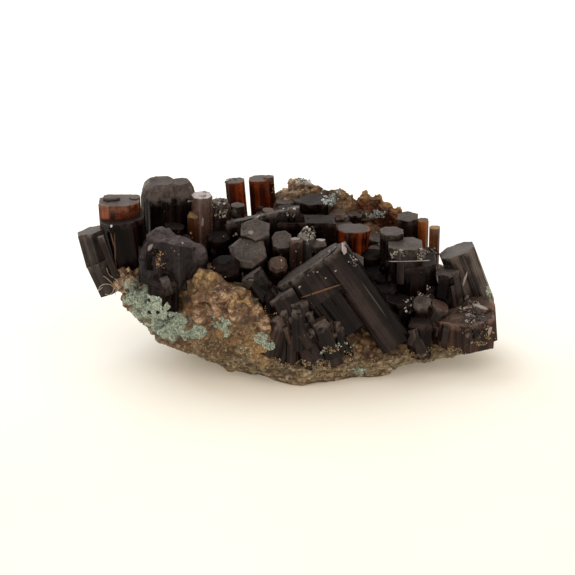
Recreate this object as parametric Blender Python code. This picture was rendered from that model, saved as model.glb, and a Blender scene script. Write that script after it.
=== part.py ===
"""A vesuvianite specimen: dark prismatic crystals grown together on a thin, boat-shaped piece of matrix."""

import math
from dataclasses import dataclass

import bmesh
import bpy
import numpy as np
from mathutils import Matrix, Vector, noise

# Driving dimensions, in millimetres unless a name says otherwise
MM = 0.001
VIEW_TILT = math.radians(25.0)
EYE_HEIGHT = 6.0
GAP = 0.3
CORNER_CUT = 27.0
MATRIX_AROUND = 28
MATRIX_ALONG = 42
LUMP_SIZE = 2.3
LUMP_HEIGHT = 0.55
KNOB_SIZE = 1.05
KNOB_HEIGHT = 0.3
NOISE_SEED = Vector((3.7, 1.9, 8.4))
LOW_LENGTH = 3.6
END_RINGS = 3.0
BLUNT_END = 0.28
GROUND_DEPTH = 5.0

# Boolean solver for closed meshes: with the exact one, whole prisms of these clusters are lost
SOLVER = "MANIFOLD"

# Ends of the prisms: each pair is the drop below the end face and the share of the full width there
FLAT_END = ((0.0, 0.94), (0.07, 1.0))
BEVELLED_END = ((0.0, 0.72), (0.3, 1.0))
DOMED_END = ((0.0, 0.6), (0.4, 0.85), (1.15, 1.0))
ROUNDED_END = ((0.0, 0.4), (0.35, 0.78), (0.9, 1.0))
POINTED_END = ((0.0, 0.14), (0.9, 1.0))
STEEP_END = ((0.0, 0.24), (0.75, 0.66), (2.5, 1.0))
CONE_END = ((0.0, 0.2), (0.5, 0.6), (1.5, 1.0))


@dataclass
class Crystal:
    """One prism. Its place is the middle of its end face: to the right, up the front view, and back.

    half is half its width, thick the share of that from front to back, and foot its share at the foot.
    lean is how far its end stands out to the right and back for each unit up, turn is in degrees about
    its own axis, and slant is the slope of its end face to the right and back.
    """

    across: float
    up: float
    back: float
    half: float
    length: float
    thick: float = 1.0
    lean: tuple = (0.0, 0.0)
    sides: int = 8
    turn: float = 0.0
    end: tuple = FLAT_END
    slant: tuple = (0.0, 0.0)
    foot: float = 1.0


def height_of(up, back):
    """The height above the ground of a place seen this far up the front view and this far back."""
    return EYE_HEIGHT + (up - back * math.sin(VIEW_TILT)) / math.cos(VIEW_TILT)


def low(across, height, back, half, **shape):
    """A short crystal placed by the height of its end face above the ground."""
    up = (height - EYE_HEIGHT) * math.cos(VIEW_TILT) + back * math.sin(VIEW_TILT)
    return Crystal(across, up, back, half, LOW_LENGTH, **shape)


def section_angles(sides):
    """A tetragonal prism is a square with its corners cut; other sections are even."""
    if sides != 8:
        return [math.tau * (i + 0.5) / sides for i in range(sides)]
    corners = [quarter + cut for quarter in (0, 90, 180, 270) for cut in (-CORNER_CUT, CORNER_CUT)]
    return [math.radians(corner) for corner in corners]


def prism_rings(crystal, grow):
    """The rings of points of a prism, from its end to its foot, with every side moved out by grow."""
    axis = Vector((crystal.lean[0], crystal.lean[1], 1.0)).normalized()
    right = (Vector((1, 0, 0)) - axis * axis.x).normalized()
    rear = axis.cross(right)
    middle = Vector((crystal.across, crystal.back, height_of(crystal.up, crystal.back)))
    turn = Matrix.Rotation(math.radians(crystal.turn), 2)
    levels = [(drop - grow, share, 1.0) for drop, share in crystal.end]
    levels.append((crystal.length + grow, crystal.foot, 0.0))
    rings = []
    for drop, share, slanted in levels:
        ring = []
        for angle in section_angles(crystal.sides):
            spot = turn @ Vector((math.cos(angle), math.sin(angle)))
            x = spot.x * (crystal.half * share + grow)
            y = spot.y * (crystal.half * crystal.thick * share + grow)
            rise = slanted * (crystal.slant[0] * x + crystal.slant[1] * y) - drop
            ring.append(middle + right * x + rear * y + axis * rise)
        rings.append(ring)
    return rings


def object_from(name, points, faces):
    mesh = bpy.data.meshes.new(name)
    mesh.from_pydata([tuple(point) for point in points], [], faces)
    shape = bmesh.new()
    shape.from_mesh(mesh)
    bmesh.ops.recalc_face_normals(shape, faces=shape.faces)
    shape.to_mesh(mesh)
    shape.free()
    solid = bpy.data.objects.new(name, mesh)
    bpy.context.scene.collection.objects.link(solid)
    return solid


def loft(name, rings):
    """A closed solid through rings of equal length, with a face over each end."""
    count = len(rings[0])
    points = [point * MM for ring in rings for point in ring]
    faces = [tuple(range(count)), tuple(range(len(points) - count, len(points)))[::-1]]
    for level in range(len(rings) - 1):
        start = level * count
        for i in range(count):
            after = (i + 1) % count
            faces.append((start + i, start + after, start + count + after, start + count + i))
    return object_from(name, points, faces)


def combine(solid, other, operation):
    """Joins other to the solid, or cuts it away, and removes other."""
    boolean = solid.modifiers.new(operation, "BOOLEAN")
    boolean.operation = operation
    boolean.solver = SOLVER
    boolean.object = other
    bpy.context.view_layer.update()
    graph = bpy.context.evaluated_depsgraph_get()
    mesh = bpy.data.meshes.new_from_object(solid.evaluated_get(graph))
    solid.modifiers.clear()
    solid.data = mesh
    bpy.data.objects.remove(other)


def grown_together(name, crystals, grow=0.0):
    """Overlapping prisms joined in one solid."""
    prisms = [loft(name, prism_rings(crystal, grow)) for crystal in crystals]
    solid = prisms[0]
    for prism in prisms[1:]:
        combine(solid, prism, "UNION")
    return solid


def corners_of(solid):
    points = np.array([tuple(vertex.co) for vertex in solid.data.vertices])
    return points.min(axis=0), points.max(axis=0)


def boxes_meet(first, second):
    low_a, high_a = corners_of(first)
    low_b, high_b = corners_of(second)
    return bool((low_a < high_b).all() and (low_b < high_a).all())


def body_size(body):
    places = np.array([tuple(vertex.co) for vertex in body])
    return float(np.prod(places.max(axis=0) - places.min(axis=0)))


def keep_largest_body(solid):
    """Removes the chips that a cut leaves beside the crystal."""
    shape = bmesh.new()
    shape.from_mesh(solid.data)
    shape.verts.ensure_lookup_table()
    unseen = set(shape.verts)
    bodies = []
    while unseen:
        body = {unseen.pop()}
        front = list(body)
        while front:
            vertex = front.pop()
            near = {edge.other_vert(vertex) for edge in vertex.link_edges} & unseen
            unseen -= near
            body |= near
            front.extend(near)
        bodies.append(body)
    largest = max(bodies, key=body_size)
    chips = [vertex for body in bodies if body is not largest for vertex in body]
    bmesh.ops.delete(shape, geom=chips, context="VERTS")
    shape.to_mesh(solid.data)
    shape.free()


def surface_material(name, colour, roughness):
    material = bpy.data.materials.new(name)
    material.use_nodes = True
    shader = material.node_tree.nodes["Principled BSDF"]
    shader.inputs["Base Color"].default_value = (*colour, 1.0)
    shader.inputs["Roughness"].default_value = roughness
    shader.inputs["Metallic"].default_value = 0.0
    return material


# Matrix: cross-sections along the specimen, from its left end to its right
STATIONS = (-14.6, -12.5, -10.0, -7.0, -5.0, -3.4, -1.0, 1.2, 3.0, 5.0, 8.0, 11.0, 14.0, 16.6)
FRONT_EDGE = (-1.2, -3.2, -4.6, -5.3, -5.7, -6.0, -6.3, -6.5, -6.4, -6.2, -5.6, -4.9, -3.8, -2.0)
FRONT_TOP = (8.4, 8.1, 7.0, 9.5, 9.0, 8.3, 5.3, 3.2, 3.1, 2.7, 2.0, 2.0, 2.6, 3.2)
FRONT_FOOT = (6.9, 4.8, 2.8, 2.1, 1.7, 1.2, 0.2, -0.1, 0.1, 0.6, 0.9, 1.2, 1.6, 1.7)
FLOOR = (8.0, 8.0, 7.9, 8.0, 7.8, 7.5, 7.0, 6.7, 6.4, 6.0, 5.0, 4.2, 3.6, 3.2)
BACK_EDGE = (3.6, 6.0, 7.6, 8.7, 9.1, 9.2, 9.7, 9.9, 9.8, 9.4, 8.4, 7.0, 5.2, 3.0)
BACK_TOP = (8.5, 9.2, 10.2, 11.2, 10.8, 9.2, 11.3, 12.4, 11.6, 11.0, 9.4, 7.6, 5.6, 4.0)
BACK_FOOT = (7.0, 5.2, 3.8, 2.8, 2.3, 2.0, 1.7, 1.5, 1.5, 1.5, 1.6, 1.8, 2.1, 2.3)
KEEL = (6.6, 4.0, 1.7, 0.3, -0.1, -0.3, -0.4, -0.4, -0.4, -0.4, -0.2, 0.3, 0.9, 1.5)

# How far the corners of the matrix outline lie inside its front and back edges
FRONT_FOOT_INSET = 0.4
FRONT_RIM_INSET = 0.7
FRONT_SHOULDER_INSET = 1.9
FRONT_SLOPE_INSET = 4.2
BACK_SLOPE_INSET = 2.6
BACK_RIM_INSET = 0.9
BACK_RIM_DROP = 0.8
BACK_WAIST_INSET = 0.1
BACK_FOOT_INSET = 1.5

# Knobs and pits of the matrix: across, height, back, radius, and how far it stands out or sinks in
KNOBS = (
    (-1.7, 5.3, -6.1, 1.3, 1.0),
    (-4.4, 7.4, -5.9, 1.3, 0.7),
    (-6.6, 8.6, -5.2, 1.2, 0.7),
    (-13.0, 8.0, -2.9, 1.2, 0.6),
    (-9.6, 6.9, -4.4, 1.5, -1.7),
    (0.8, 11.9, 9.2, 1.0, 0.6),
    (4.7, 10.4, 8.9, 1.3, 0.9),
    (3.1, 11.1, 9.3, 0.9, 0.4),
    (-0.8, 11.2, 9.2, 0.7, 0.5),
    (15.9, 2.9, -1.6, 1.0, 0.4),
    (-6.4, 10.6, 8.0, 0.9, 0.3),
)


def between(first, second, share):
    return first + (second - first) * share


def matrix_outline(x):
    """Corners of the matrix section at x, from the front foot up, over the top and back underneath."""
    table = (FRONT_EDGE, FRONT_TOP, FRONT_FOOT, FLOOR, BACK_EDGE, BACK_TOP, BACK_FOOT, KEEL)
    front, top, foot, floor, back, back_top, back_foot, keel = (np.interp(x, STATIONS, row) for row in table)
    return np.array(
        [
            (front + FRONT_FOOT_INSET, foot),
            (front, between(foot, top, 0.5)),
            (front + FRONT_RIM_INSET, top),
            (front + FRONT_SHOULDER_INSET, between(top, floor, 0.15)),
            (front + FRONT_SLOPE_INSET, between(top, floor, 0.6)),
            (between(front, back, 0.5), floor),
            (back - BACK_SLOPE_INSET, between(back_top, floor, 0.35)),
            (back - BACK_RIM_INSET, back_top),
            (back, back_top - BACK_RIM_DROP),
            (back - BACK_WAIST_INSET, between(back_foot, back_top, 0.5)),
            (back - BACK_FOOT_INSET, back_foot),
            (0.1 * front + 0.6 * back, keel),
            (0.7 * front + 0.1 * back, keel),
        ]
    )


def matrix_section(x):
    """The outline as evenly spaced points, each moved halfway to the middle of its neighbours."""
    corners = matrix_outline(x)
    closed = np.vstack([corners, corners[:1]])
    walked = np.concatenate([[0.0], np.cumsum(np.linalg.norm(np.diff(closed, axis=0), axis=1))])
    steps = np.linspace(0.0, walked[-1], MATRIX_AROUND, endpoint=False)
    ring = np.column_stack([np.interp(steps, walked, column) for column in closed.T])
    neighbours = 0.5 * (np.roll(ring, 1, axis=0) + np.roll(ring, -1, axis=0))
    return between(ring, neighbours, 0.5)


def matrix_rings():
    """Sections along the specimen, drawn in at both ends so that they close to a blunt edge."""
    rings = []
    for share in np.linspace(0.0, 1.0, MATRIX_ALONG):
        x = STATIONS[0] + (STATIONS[-1] - STATIONS[0]) * share
        section = matrix_section(x)
        near_end = min(1.0, min(share, 1.0 - share) * MATRIX_ALONG / END_RINGS)
        fullness = between(BLUNT_END, 1.0, math.sqrt(1.0 - (1.0 - near_end) ** 2))
        middle = section.mean(axis=0)
        section = middle + (section - middle) * fullness
        rings.append([Vector((x, y, z)) for y, z in section])
    return rings


def roughen(solid, grow):
    """Lumps, knobs and pits of the broken rock, raised along its normals. A grown copy stands GAP out."""
    mesh = solid.data
    moved = []
    for vertex in mesh.vertices:
        place = vertex.co / MM
        lumps = noise.noise(place / LUMP_SIZE + NOISE_SEED) * LUMP_HEIGHT
        knobs = noise.noise(place / KNOB_SIZE - NOISE_SEED) * KNOB_HEIGHT
        rise = lumps + knobs + grow
        for across, height, back, radius, stand in KNOBS:
            away = (place - Vector((across, back, height))).length / radius
            rise += stand * math.exp(-away * away)
        moved.append(vertex.co + vertex.normal * rise * MM)
    for vertex, place in zip(mesh.vertices, moved):
        vertex.co = place


def cut_flat(solid):
    """The flat that the specimen rests on, at the ground."""
    reach = 2.0 * STATIONS[-1]
    plan = ((-reach, -reach), (reach, -reach), (reach, reach), (-reach, reach))
    ground = loft("ground", [[Vector((x, y, z)) for x, y in plan] for z in (0.0, -GROUND_DEPTH)])
    combine(solid, ground, "DIFFERENCE")
    keep_largest_body(solid)


def matrix():
    solid = loft("matrix", matrix_rings())
    roughen(solid, 0.0)
    cut_flat(solid)
    return solid


def matrix_keep_out():
    solid = loft("matrix_keep_out", matrix_rings())
    roughen(solid, GAP)
    return solid


def left_outer_crystal():
    return [Crystal(-15.95, 4.6, 1.1, 1.25, 2.2, thick=0.8, lean=(-0.22, 0.03), sides=6, turn=8)]


def left_broken_crystal():
    return [Crystal(-15.45, 2.15, 0.9, 1.15, 2.3, thick=0.9, lean=(-0.42, 0.1), sides=6, turn=10)]


def left_sliver_crystal():
    return [Crystal(-14.95, 4.1, -0.6, 0.36, 4.2, thick=0.8, lean=(-0.33, 0.05), sides=4)]


def left_tall_crystal():
    return [
        Crystal(-13.55, 7.05, 1.6, 1.85, 5.0, thick=0.8, lean=(-0.03, 0.0)),
        Crystal(-13.3, 5.75, 0.9, 2.0, 6.0, thick=1.0, lean=(-0.13, 0.03), foot=0.8),
        Crystal(-14.2, 7.35, 1.8, 0.75, 1.5, thick=0.7),
        Crystal(-12.35, 7.35, 2.0, 0.5, 1.5),
    ]


def domed_crystal():
    return [
        Crystal(-10.35, 8.75, 4.6, 1.85, 7.0, end=DOMED_END),
        Crystal(-8.75, 8.7, 4.5, 1.3, 7.0, end=DOMED_END, turn=20),
    ]


def front_left_crystal():
    return [
        Crystal(-10.0, 4.75, -2.0, 2.0, 4.6, thick=0.9, lean=(0.05, -0.05), sides=6, end=STEEP_END),
        Crystal(-8.75, 4.0, -2.0, 1.75, 4.0, end=BEVELLED_END, turn=20, slant=(-0.25, -0.2)),
        Crystal(-7.45, 3.45, -2.0, 1.4, 3.6, lean=(0.1, 0.0), end=ROUNDED_END, turn=10),
        Crystal(-9.8, 0.75, -3.6, 1.4, 3.0, thick=0.95, lean=(0.05, -0.15), sides=6, end=BEVELLED_END),
        Crystal(-9.7, 0.7, -4.5, 0.5, 1.4, lean=(-0.2, -0.15), sides=4, turn=20),
    ]


def pale_crystal():
    return [
        Crystal(-7.0, 7.55, 3.4, 0.9, 5.0, turn=20),
        Crystal(-7.6, 6.1, 3.0, 0.65, 4.0, sides=6, end=BEVELLED_END),
    ]


def grey_column_crystal():
    return [
        Crystal(-5.5, 7.1, 3.9, 0.72, 5.0, lean=(0.03, 0.0)),
        Crystal(-4.1, 6.8, 4.6, 0.62, 5.0, sides=6),
        Crystal(-4.9, 5.6, 4.0, 0.85, 3.5, end=BEVELLED_END),
    ]


def dark_stub_crystal():
    return [Crystal(-5.6, 4.3, 1.2, 1.05, 4.0, end=BEVELLED_END, turn=12)]


def back_left_stub():
    return [Crystal(-4.4, 8.95, 7.9, 0.9, 3.8, lean=(-0.08, 0.05))]


def back_right_stub():
    return [
        Crystal(-2.4, 9.15, 8.3, 0.95, 4.0, lean=(-0.06, 0.05)),
        Crystal(-1.6, 9.3, 8.4, 0.52, 4.0, lean=(-0.06, 0.05), sides=6),
    ]


def grey_slab_crystal():
    return [
        Crystal(-3.2, 3.0, -0.8, 1.65, 4.2, lean=(-0.1, -0.75), sides=6, turn=12, end=BEVELLED_END),
        Crystal(-2.6, 4.7, 0.5, 1.35, 4.2, thick=0.8, lean=(0.0, -0.7), sides=6),
    ]


def plate_crystal():
    return [
        Crystal(-2.0, 5.95, 2.3, 4.25, 4.0, thick=0.1, sides=4, slant=(0.24, 0.0)),
        Crystal(-1.6, 6.35, 3.1, 0.5, 3.0),
    ]


def dark_round_crystal():
    return [Crystal(-5.1, 2.2, -2.8, 1.3, 3.4, lean=(-0.15, -0.35), end=ROUNDED_END)]


def centre_upper_crystals():
    return [
        Crystal(-0.45, 3.85, 0.4, 0.95, 4.0, lean=(0.0, -0.65), turn=8),
        Crystal(0.7, 3.85, -0.2, 0.62, 3.6),
    ]


def centre_lower_crystal():
    return [Crystal(-0.75, 2.0, -1.2, 0.88, 3.5, lean=(0.05, -0.7), turn=15, end=BEVELLED_END)]


def frosted_crystal():
    return [
        Crystal(1.5, 4.9, 0.9, 0.85, 3.4, sides=6, end=POINTED_END),
        Crystal(2.55, 3.75, 0.7, 0.7, 3.0, end=BEVELLED_END),
    ]


def black_crystal():
    return [Crystal(1.55, 5.6, 2.6, 3.4, 5.0, thick=0.38, sides=4)]


def black_back_crystals():
    return [
        Crystal(2.2, 7.3, 5.6, 1.35, 6.0),
        Crystal(0.1, 6.6, 5.2, 1.4, 4.5, thick=0.8, sides=6, end=BEVELLED_END),
    ]


def tilted_crystal():
    lean = (-0.72, 0.2)
    return [
        Crystal(1.55, 1.85, -2.3, 3.25, 6.4, thick=0.5, lean=lean),
        Crystal(1.45, 1.6, -3.1, 3.1, 2.9, thick=0.36, lean=lean),
        Crystal(3.45, 2.85, -2.75, 1.5, 9.2, thick=0.8, lean=lean),
        Crystal(2.9, -0.6, -2.0, 1.5, 6.6, thick=0.7, lean=(-0.6, 0.2), sides=6),
    ]


def block_crystal():
    return [Crystal(-2.9, 1.1, -3.3, 1.0, 4.0, lean=(-0.72, 0.26))]


def fan_crystals():
    return [
        Crystal(-0.7, -0.5, -4.0, 1.4, 6.5, thick=0.9, lean=(-0.6, 0.2)),
        Crystal(0.7, -1.0, -4.4, 1.1, 5.6, lean=(-0.15, 0.1), sides=6),
        Crystal(-0.3, -1.9, -5.0, 0.95, 3.8, lean=(0.3, 0.1), sides=6, end=POINTED_END),
        Crystal(2.2, -2.6, -4.8, 1.0, 4.0, lean=(-0.4, 0.1), sides=6),
    ]


def red_orange_crystal():
    return [Crystal(5.4, 4.85, 2.6, 1.5, 4.2, thick=0.7, foot=0.75)]


def grey_hexagonal_crystal():
    return [
        Crystal(5.5, 2.2, -0.1, 0.78, 3.5, lean=(0.1, -0.5), sides=6),
        Crystal(4.75, 3.15, 0.3, 0.4, 2.4, end=ROUNDED_END),
    ]


def dark_low_crystals():
    return [
        Crystal(6.9, 2.9, 1.7, 1.0, 4.0, end=BEVELLED_END),
        Crystal(7.2, 1.5, 0.4, 1.2, 4.0, lean=(-0.1, -0.2), end=BEVELLED_END),
        Crystal(7.8, 0.1, -1.2, 1.15, 4.0, lean=(-0.25, -0.2), sides=6, end=BEVELLED_END),
        Crystal(8.9, -0.9, -2.6, 1.15, 4.6, lean=(0.12, 0.0), sides=6),
    ]


def stepped_crystal():
    return [
        Crystal(10.3, 2.35, 0.5, 1.95, 5.2, end=FLAT_END),
        Crystal(9.5, 3.55, 0.2, 1.55, 3.0, end=FLAT_END),
        Crystal(8.45, 4.6, 1.6, 1.05, 4.5, end=FLAT_END),
    ]


def small_front_crystals():
    return [
        Crystal(10.7, -1.0, -2.6, 0.85, 3.4, lean=(-0.2, -0.3), end=BEVELLED_END),
        Crystal(12.3, -1.4, -2.2, 0.85, 4.2, lean=(0.5, -0.1)),
        Crystal(9.9, -3.4, -4.2, 0.5, 2.6, lean=(-0.45, 0.1), sides=4, turn=30),
        Crystal(10.6, -2.6, -3.4, 1.1, 3.0, sides=6, end=BEVELLED_END),
    ]


def right_end_crystal():
    return [
        Crystal(13.75, 3.05, 1.3, 1.6, 5.4, thick=0.85, lean=(-0.38, 0.0), turn=3),
        Crystal(12.9, 1.4, 0.15, 1.1, 4.6, lean=(-0.2, 0.02), sides=6, turn=5),
    ]


def broken_crystal():
    return [
        Crystal(14.2, -2.0, -1.7, 2.85, 2.7, thick=0.8, sides=6, slant=(0.05, 0.1)),
        Crystal(15.5, -1.1, -0.8, 1.5, 3.3, lean=(-0.1, 0.0), sides=6, end=BEVELLED_END),
    ]


def amber_crystals():
    return [
        Crystal(6.5, 8.0, 7.6, 0.85, 2.8, sides=6, end=CONE_END),
        Crystal(7.5, 7.8, 7.4, 0.6, 2.8, sides=6, end=CONE_END),
        Crystal(8.3, 7.2, 7.0, 0.75, 2.8, sides=6, end=ROUNDED_END),
        Crystal(9.2, 6.8, 6.6, 0.6, 2.8, sides=6, end=ROUNDED_END),
    ]


def dark_back_slab():
    return [Crystal(9.95, 5.9, 5.0, 1.0, 4.0, thick=0.8, lean=(0.0, -0.2), sides=6)]


def orange_crystal():
    return [Crystal(11.2, 5.6, 4.6, 0.5, 4.0)]


def brown_column_crystal():
    return [Crystal(12.1, 4.95, 3.7, 0.5, 4.0)]


def low_left_crystals():
    return [
        low(-11.2, 9.9, -0.1, 1.0, turn=10),
        low(-10.3, 10.2, 1.3, 1.1, sides=6),
        low(-8.8, 9.9, 1.0, 1.1, turn=25),
        low(-7.7, 9.7, 0.2, 0.9, end=BEVELLED_END),
        low(-9.2, 10.5, 2.3, 0.9, lean=(0.1, 0.05)),
    ]


def low_back_left_crystals():
    return [
        low(-11.9, 10.5, 4.6, 0.9, lean=(-0.15, 0.1)),
        low(-11.2, 10.9, 6.0, 1.0, sides=6, lean=(-0.1, 0.15)),
        low(-9.7, 11.0, 6.9, 1.1, turn=12, lean=(0.0, 0.15)),
        low(-8.1, 11.2, 6.9, 1.0, end=BEVELLED_END),
        low(-6.8, 10.9, 6.2, 0.95, sides=6, turn=8),
        low(-5.8, 10.7, 5.6, 0.8),
    ]


def low_middle_crystals():
    return [
        low(-3.1, 9.6, 5.6, 1.0, turn=15),
        low(-2.2, 9.3, 4.4, 0.9, sides=6),
        low(-4.2, 9.5, 6.4, 0.8, end=BEVELLED_END),
        low(-1.9, 9.7, 6.6, 0.8, turn=30),
    ]


def low_back_middle_crystals():
    return [
        low(-0.2, 10.6, 7.3, 0.9, lean=(0.0, 0.1)),
        low(1.3, 10.7, 7.6, 1.0, sides=6),
        low(2.9, 10.4, 7.4, 1.0, turn=20),
        low(4.15, 9.85, 6.6, 1.0, end=BEVELLED_END),
        low(4.6, 9.3, 5.2, 0.95, sides=6, turn=10),
        low(5.6, 9.6, 7.2, 0.8, turn=5),
    ]


def low_right_crystals():
    return [
        low(7.6, 8.3, 5.0, 1.0, sides=6),
        low(8.3, 8.2, 4.0, 0.95, turn=15),
        low(7.3, 8.0, 3.6, 0.8, end=BEVELLED_END),
        low(10.9, 7.0, 2.9, 0.8, sides=6, turn=20),
        low(9.7, 7.6, 3.6, 0.95, turn=5),
        low(12.1, 6.3, 2.2, 0.8, lean=(0.1, 0.1)),
    ]


# Each node: what grew together, its colour and its roughness. A later one is cut back from the earlier.
GROUPS = (
    (tilted_crystal, (0.030, 0.022, 0.021), 0.28),
    (stepped_crystal, (0.022, 0.018, 0.018), 0.25),
    (front_left_crystal, (0.045, 0.036, 0.038), 0.5),
    (left_tall_crystal, (0.05, 0.022, 0.012), 0.3),
    (domed_crystal, (0.035, 0.026, 0.026), 0.4),
    (grey_slab_crystal, (0.06, 0.05, 0.047), 0.42),
    (right_end_crystal, (0.07, 0.055, 0.05), 0.35),
    (red_orange_crystal, (0.16, 0.03, 0.008), 0.25),
    (black_crystal, (0.012, 0.008, 0.008), 0.22),
    (centre_upper_crystals, (0.05, 0.04, 0.037), 0.4),
    (centre_lower_crystal, (0.06, 0.038, 0.03), 0.4),
    (frosted_crystal, (0.10, 0.09, 0.085), 0.5),
    (fan_crystals, (0.03, 0.02, 0.018), 0.28),
    (pale_crystal, (0.25, 0.18, 0.15), 0.3),
    (back_left_stub, (0.14, 0.035, 0.012), 0.3),
    (back_right_stub, (0.16, 0.035, 0.012), 0.3),
    (orange_crystal, (0.35, 0.10, 0.015), 0.3),
    (brown_column_crystal, (0.09, 0.035, 0.015), 0.3),
    (amber_crystals, (0.24, 0.11, 0.04), 0.4),
    (dark_back_slab, (0.035, 0.028, 0.03), 0.4),
    (left_outer_crystal, (0.06, 0.04, 0.035), 0.38),
    (left_broken_crystal, (0.07, 0.045, 0.035), 0.4),
    (left_sliver_crystal, (0.16, 0.13, 0.12), 0.4),
    (broken_crystal, (0.06, 0.032, 0.024), 0.4),
    (small_front_crystals, (0.06, 0.045, 0.042), 0.35),
    (dark_round_crystal, (0.008, 0.005, 0.005), 0.2),
    (plate_crystal, (0.04, 0.033, 0.03), 0.35),
    (grey_column_crystal, (0.04, 0.036, 0.034), 0.4),
    (dark_stub_crystal, (0.015, 0.010, 0.009), 0.35),
    (black_back_crystals, (0.012, 0.009, 0.008), 0.3),
    (grey_hexagonal_crystal, (0.08, 0.07, 0.065), 0.4),
    (block_crystal, (0.04, 0.033, 0.032), 0.3),
    (dark_low_crystals, (0.015, 0.01, 0.01), 0.35),
    (low_left_crystals, (0.02, 0.014, 0.013), 0.35),
    (low_back_left_crystals, (0.03, 0.02, 0.016), 0.35),
    (low_middle_crystals, (0.025, 0.018, 0.016), 0.35),
    (low_back_middle_crystals, (0.03, 0.02, 0.014), 0.35),
    (low_right_crystals, (0.03, 0.018, 0.014), 0.35),
)
MATRIX_COLOUR = (0.19, 0.125, 0.065)
MATRIX_ROUGHNESS = 0.85


def clear_scene():
    for item in list(bpy.data.objects):
        bpy.data.objects.remove(item)


def centre_on_ground(solids):
    """Moves all the solids so that the middle of the whole stands over the origin."""
    boxes = [corners_of(solid) for solid in solids]
    lowest = np.min([box[0] for box in boxes], axis=0)
    highest = np.max([box[1] for box in boxes], axis=0)
    middle = between(lowest, highest, 0.5)
    offset = Vector((-middle[0], -middle[1], -lowest[2]))
    for solid in solids:
        solid.data.transform(Matrix.Translation(offset))


def main():
    clear_scene()
    rock = matrix()
    rock.data.materials.clear()
    rock.data.materials.append(surface_material("matrix", MATRIX_COLOUR, MATRIX_ROUGHNESS))
    keep_outs = [matrix_keep_out()]
    solids = [rock]
    for group, colour, roughness in GROUPS:
        name = group.__name__
        solid = grown_together(name, group())
        for keep_out in keep_outs:
            if boxes_meet(solid, keep_out):
                copy = keep_out.copy()
                bpy.context.scene.collection.objects.link(copy)
                combine(solid, copy, "DIFFERENCE")
        keep_largest_body(solid)
        solid.data.materials.clear()
        solid.data.materials.append(surface_material(name, colour, roughness))
        solids.append(solid)
        keep_outs.append(grown_together(name + "_keep_out", group(), GAP))
    for keep_out in keep_outs:
        bpy.data.objects.remove(keep_out)
    centre_on_ground(solids)


main()
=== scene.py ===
"""A vesuvianite specimen on a pale floor: dark striated prisms with orange edges on lumpy matrix."""

import math
from dataclasses import dataclass

import bmesh
import bpy
import numpy as np
from mathutils import Matrix, Vector, noise
from mathutils.bvhtree import BVHTree


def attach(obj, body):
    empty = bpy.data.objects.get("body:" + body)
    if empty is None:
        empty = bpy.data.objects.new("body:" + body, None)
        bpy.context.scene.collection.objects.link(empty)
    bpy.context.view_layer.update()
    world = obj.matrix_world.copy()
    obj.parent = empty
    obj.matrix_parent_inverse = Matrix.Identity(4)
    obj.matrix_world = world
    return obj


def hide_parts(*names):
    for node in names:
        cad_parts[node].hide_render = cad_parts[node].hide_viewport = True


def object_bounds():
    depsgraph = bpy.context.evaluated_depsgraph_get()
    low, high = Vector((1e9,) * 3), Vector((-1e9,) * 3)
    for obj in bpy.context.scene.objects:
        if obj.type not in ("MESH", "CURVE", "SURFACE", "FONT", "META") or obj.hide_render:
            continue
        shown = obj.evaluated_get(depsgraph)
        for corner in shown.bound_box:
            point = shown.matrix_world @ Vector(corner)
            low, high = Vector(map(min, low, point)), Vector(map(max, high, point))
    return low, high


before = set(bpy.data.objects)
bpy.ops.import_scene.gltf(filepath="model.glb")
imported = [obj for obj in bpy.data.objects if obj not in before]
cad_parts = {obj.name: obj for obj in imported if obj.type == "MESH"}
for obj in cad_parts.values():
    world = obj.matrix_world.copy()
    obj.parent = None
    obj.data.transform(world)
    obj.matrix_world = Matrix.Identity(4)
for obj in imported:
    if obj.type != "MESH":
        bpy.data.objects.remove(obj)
cad_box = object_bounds()

# Lengths are in millimetres, apart from CAMERA_DISTANCE and EYE, which are in metres
MM = 0.001
VIEW_TILT = math.radians(25.0)
EYE_HEIGHT = 6.0
CORNER_CUT = 27.0
LOW_LENGTH = 3.6
FLOOR_REACH = 3000.0
CENTRE = Vector((-0.03, -1.77, 0.0))

# The photo's pixels and the camera that sees the specimen as the photo does
PIXELS_PER_MM = 12.3
PHOTO_MIDDLE = (288.0, 287.5)
PHOTO_SIDE = 575
CAMERA_DISTANCE = 0.17
TARGET = CENTRE + Vector((0.0, 0.0, EYE_HEIGHT))
UPWARD = Vector((0.0, math.sin(VIEW_TILT), math.cos(VIEW_TILT)))
EYE = TARGET * MM + Vector((0.0, -math.cos(VIEW_TILT), math.sin(VIEW_TILT))) * CAMERA_DISTANCE

BODY = "root"
DARK, GREY, ORANGE, PALE = "dark_crystal", "grey_crystal", "orange_crystal", "pale_crystal"
ROCK = "matrix_rock"

# Mesh fineness
AROUND_STEP = 0.075
ALONG_STEP = 0.55
CAP_STEP = 0.13
ROCK_VOXEL = 0.15
SHARP_ANGLE = math.radians(24.0)

# Seeds of the growth lines: the first group, the next group and the next prism of a group
GROUP_SEED = 11.3
GROUP_SEED_STEP = 17.9
PRISM_SEED_STEP = 3.7

# Ends of the prisms: each pair is the drop below the end face and the share of the full width there
FLAT = ((0.0, 0.95), (0.06, 1.0))
BEVELLED = ((0.0, 0.72), (0.3, 1.0))
DOMED = ((0.0, 0.6), (0.4, 0.85), (1.15, 1.0))
ROUNDED = ((0.0, 0.4), (0.35, 0.78), (0.9, 1.0))
POINTED = ((0.0, 0.14), (0.9, 1.0))
STEEP = ((0.0, 0.24), (0.75, 0.66), (2.5, 1.0))


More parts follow.
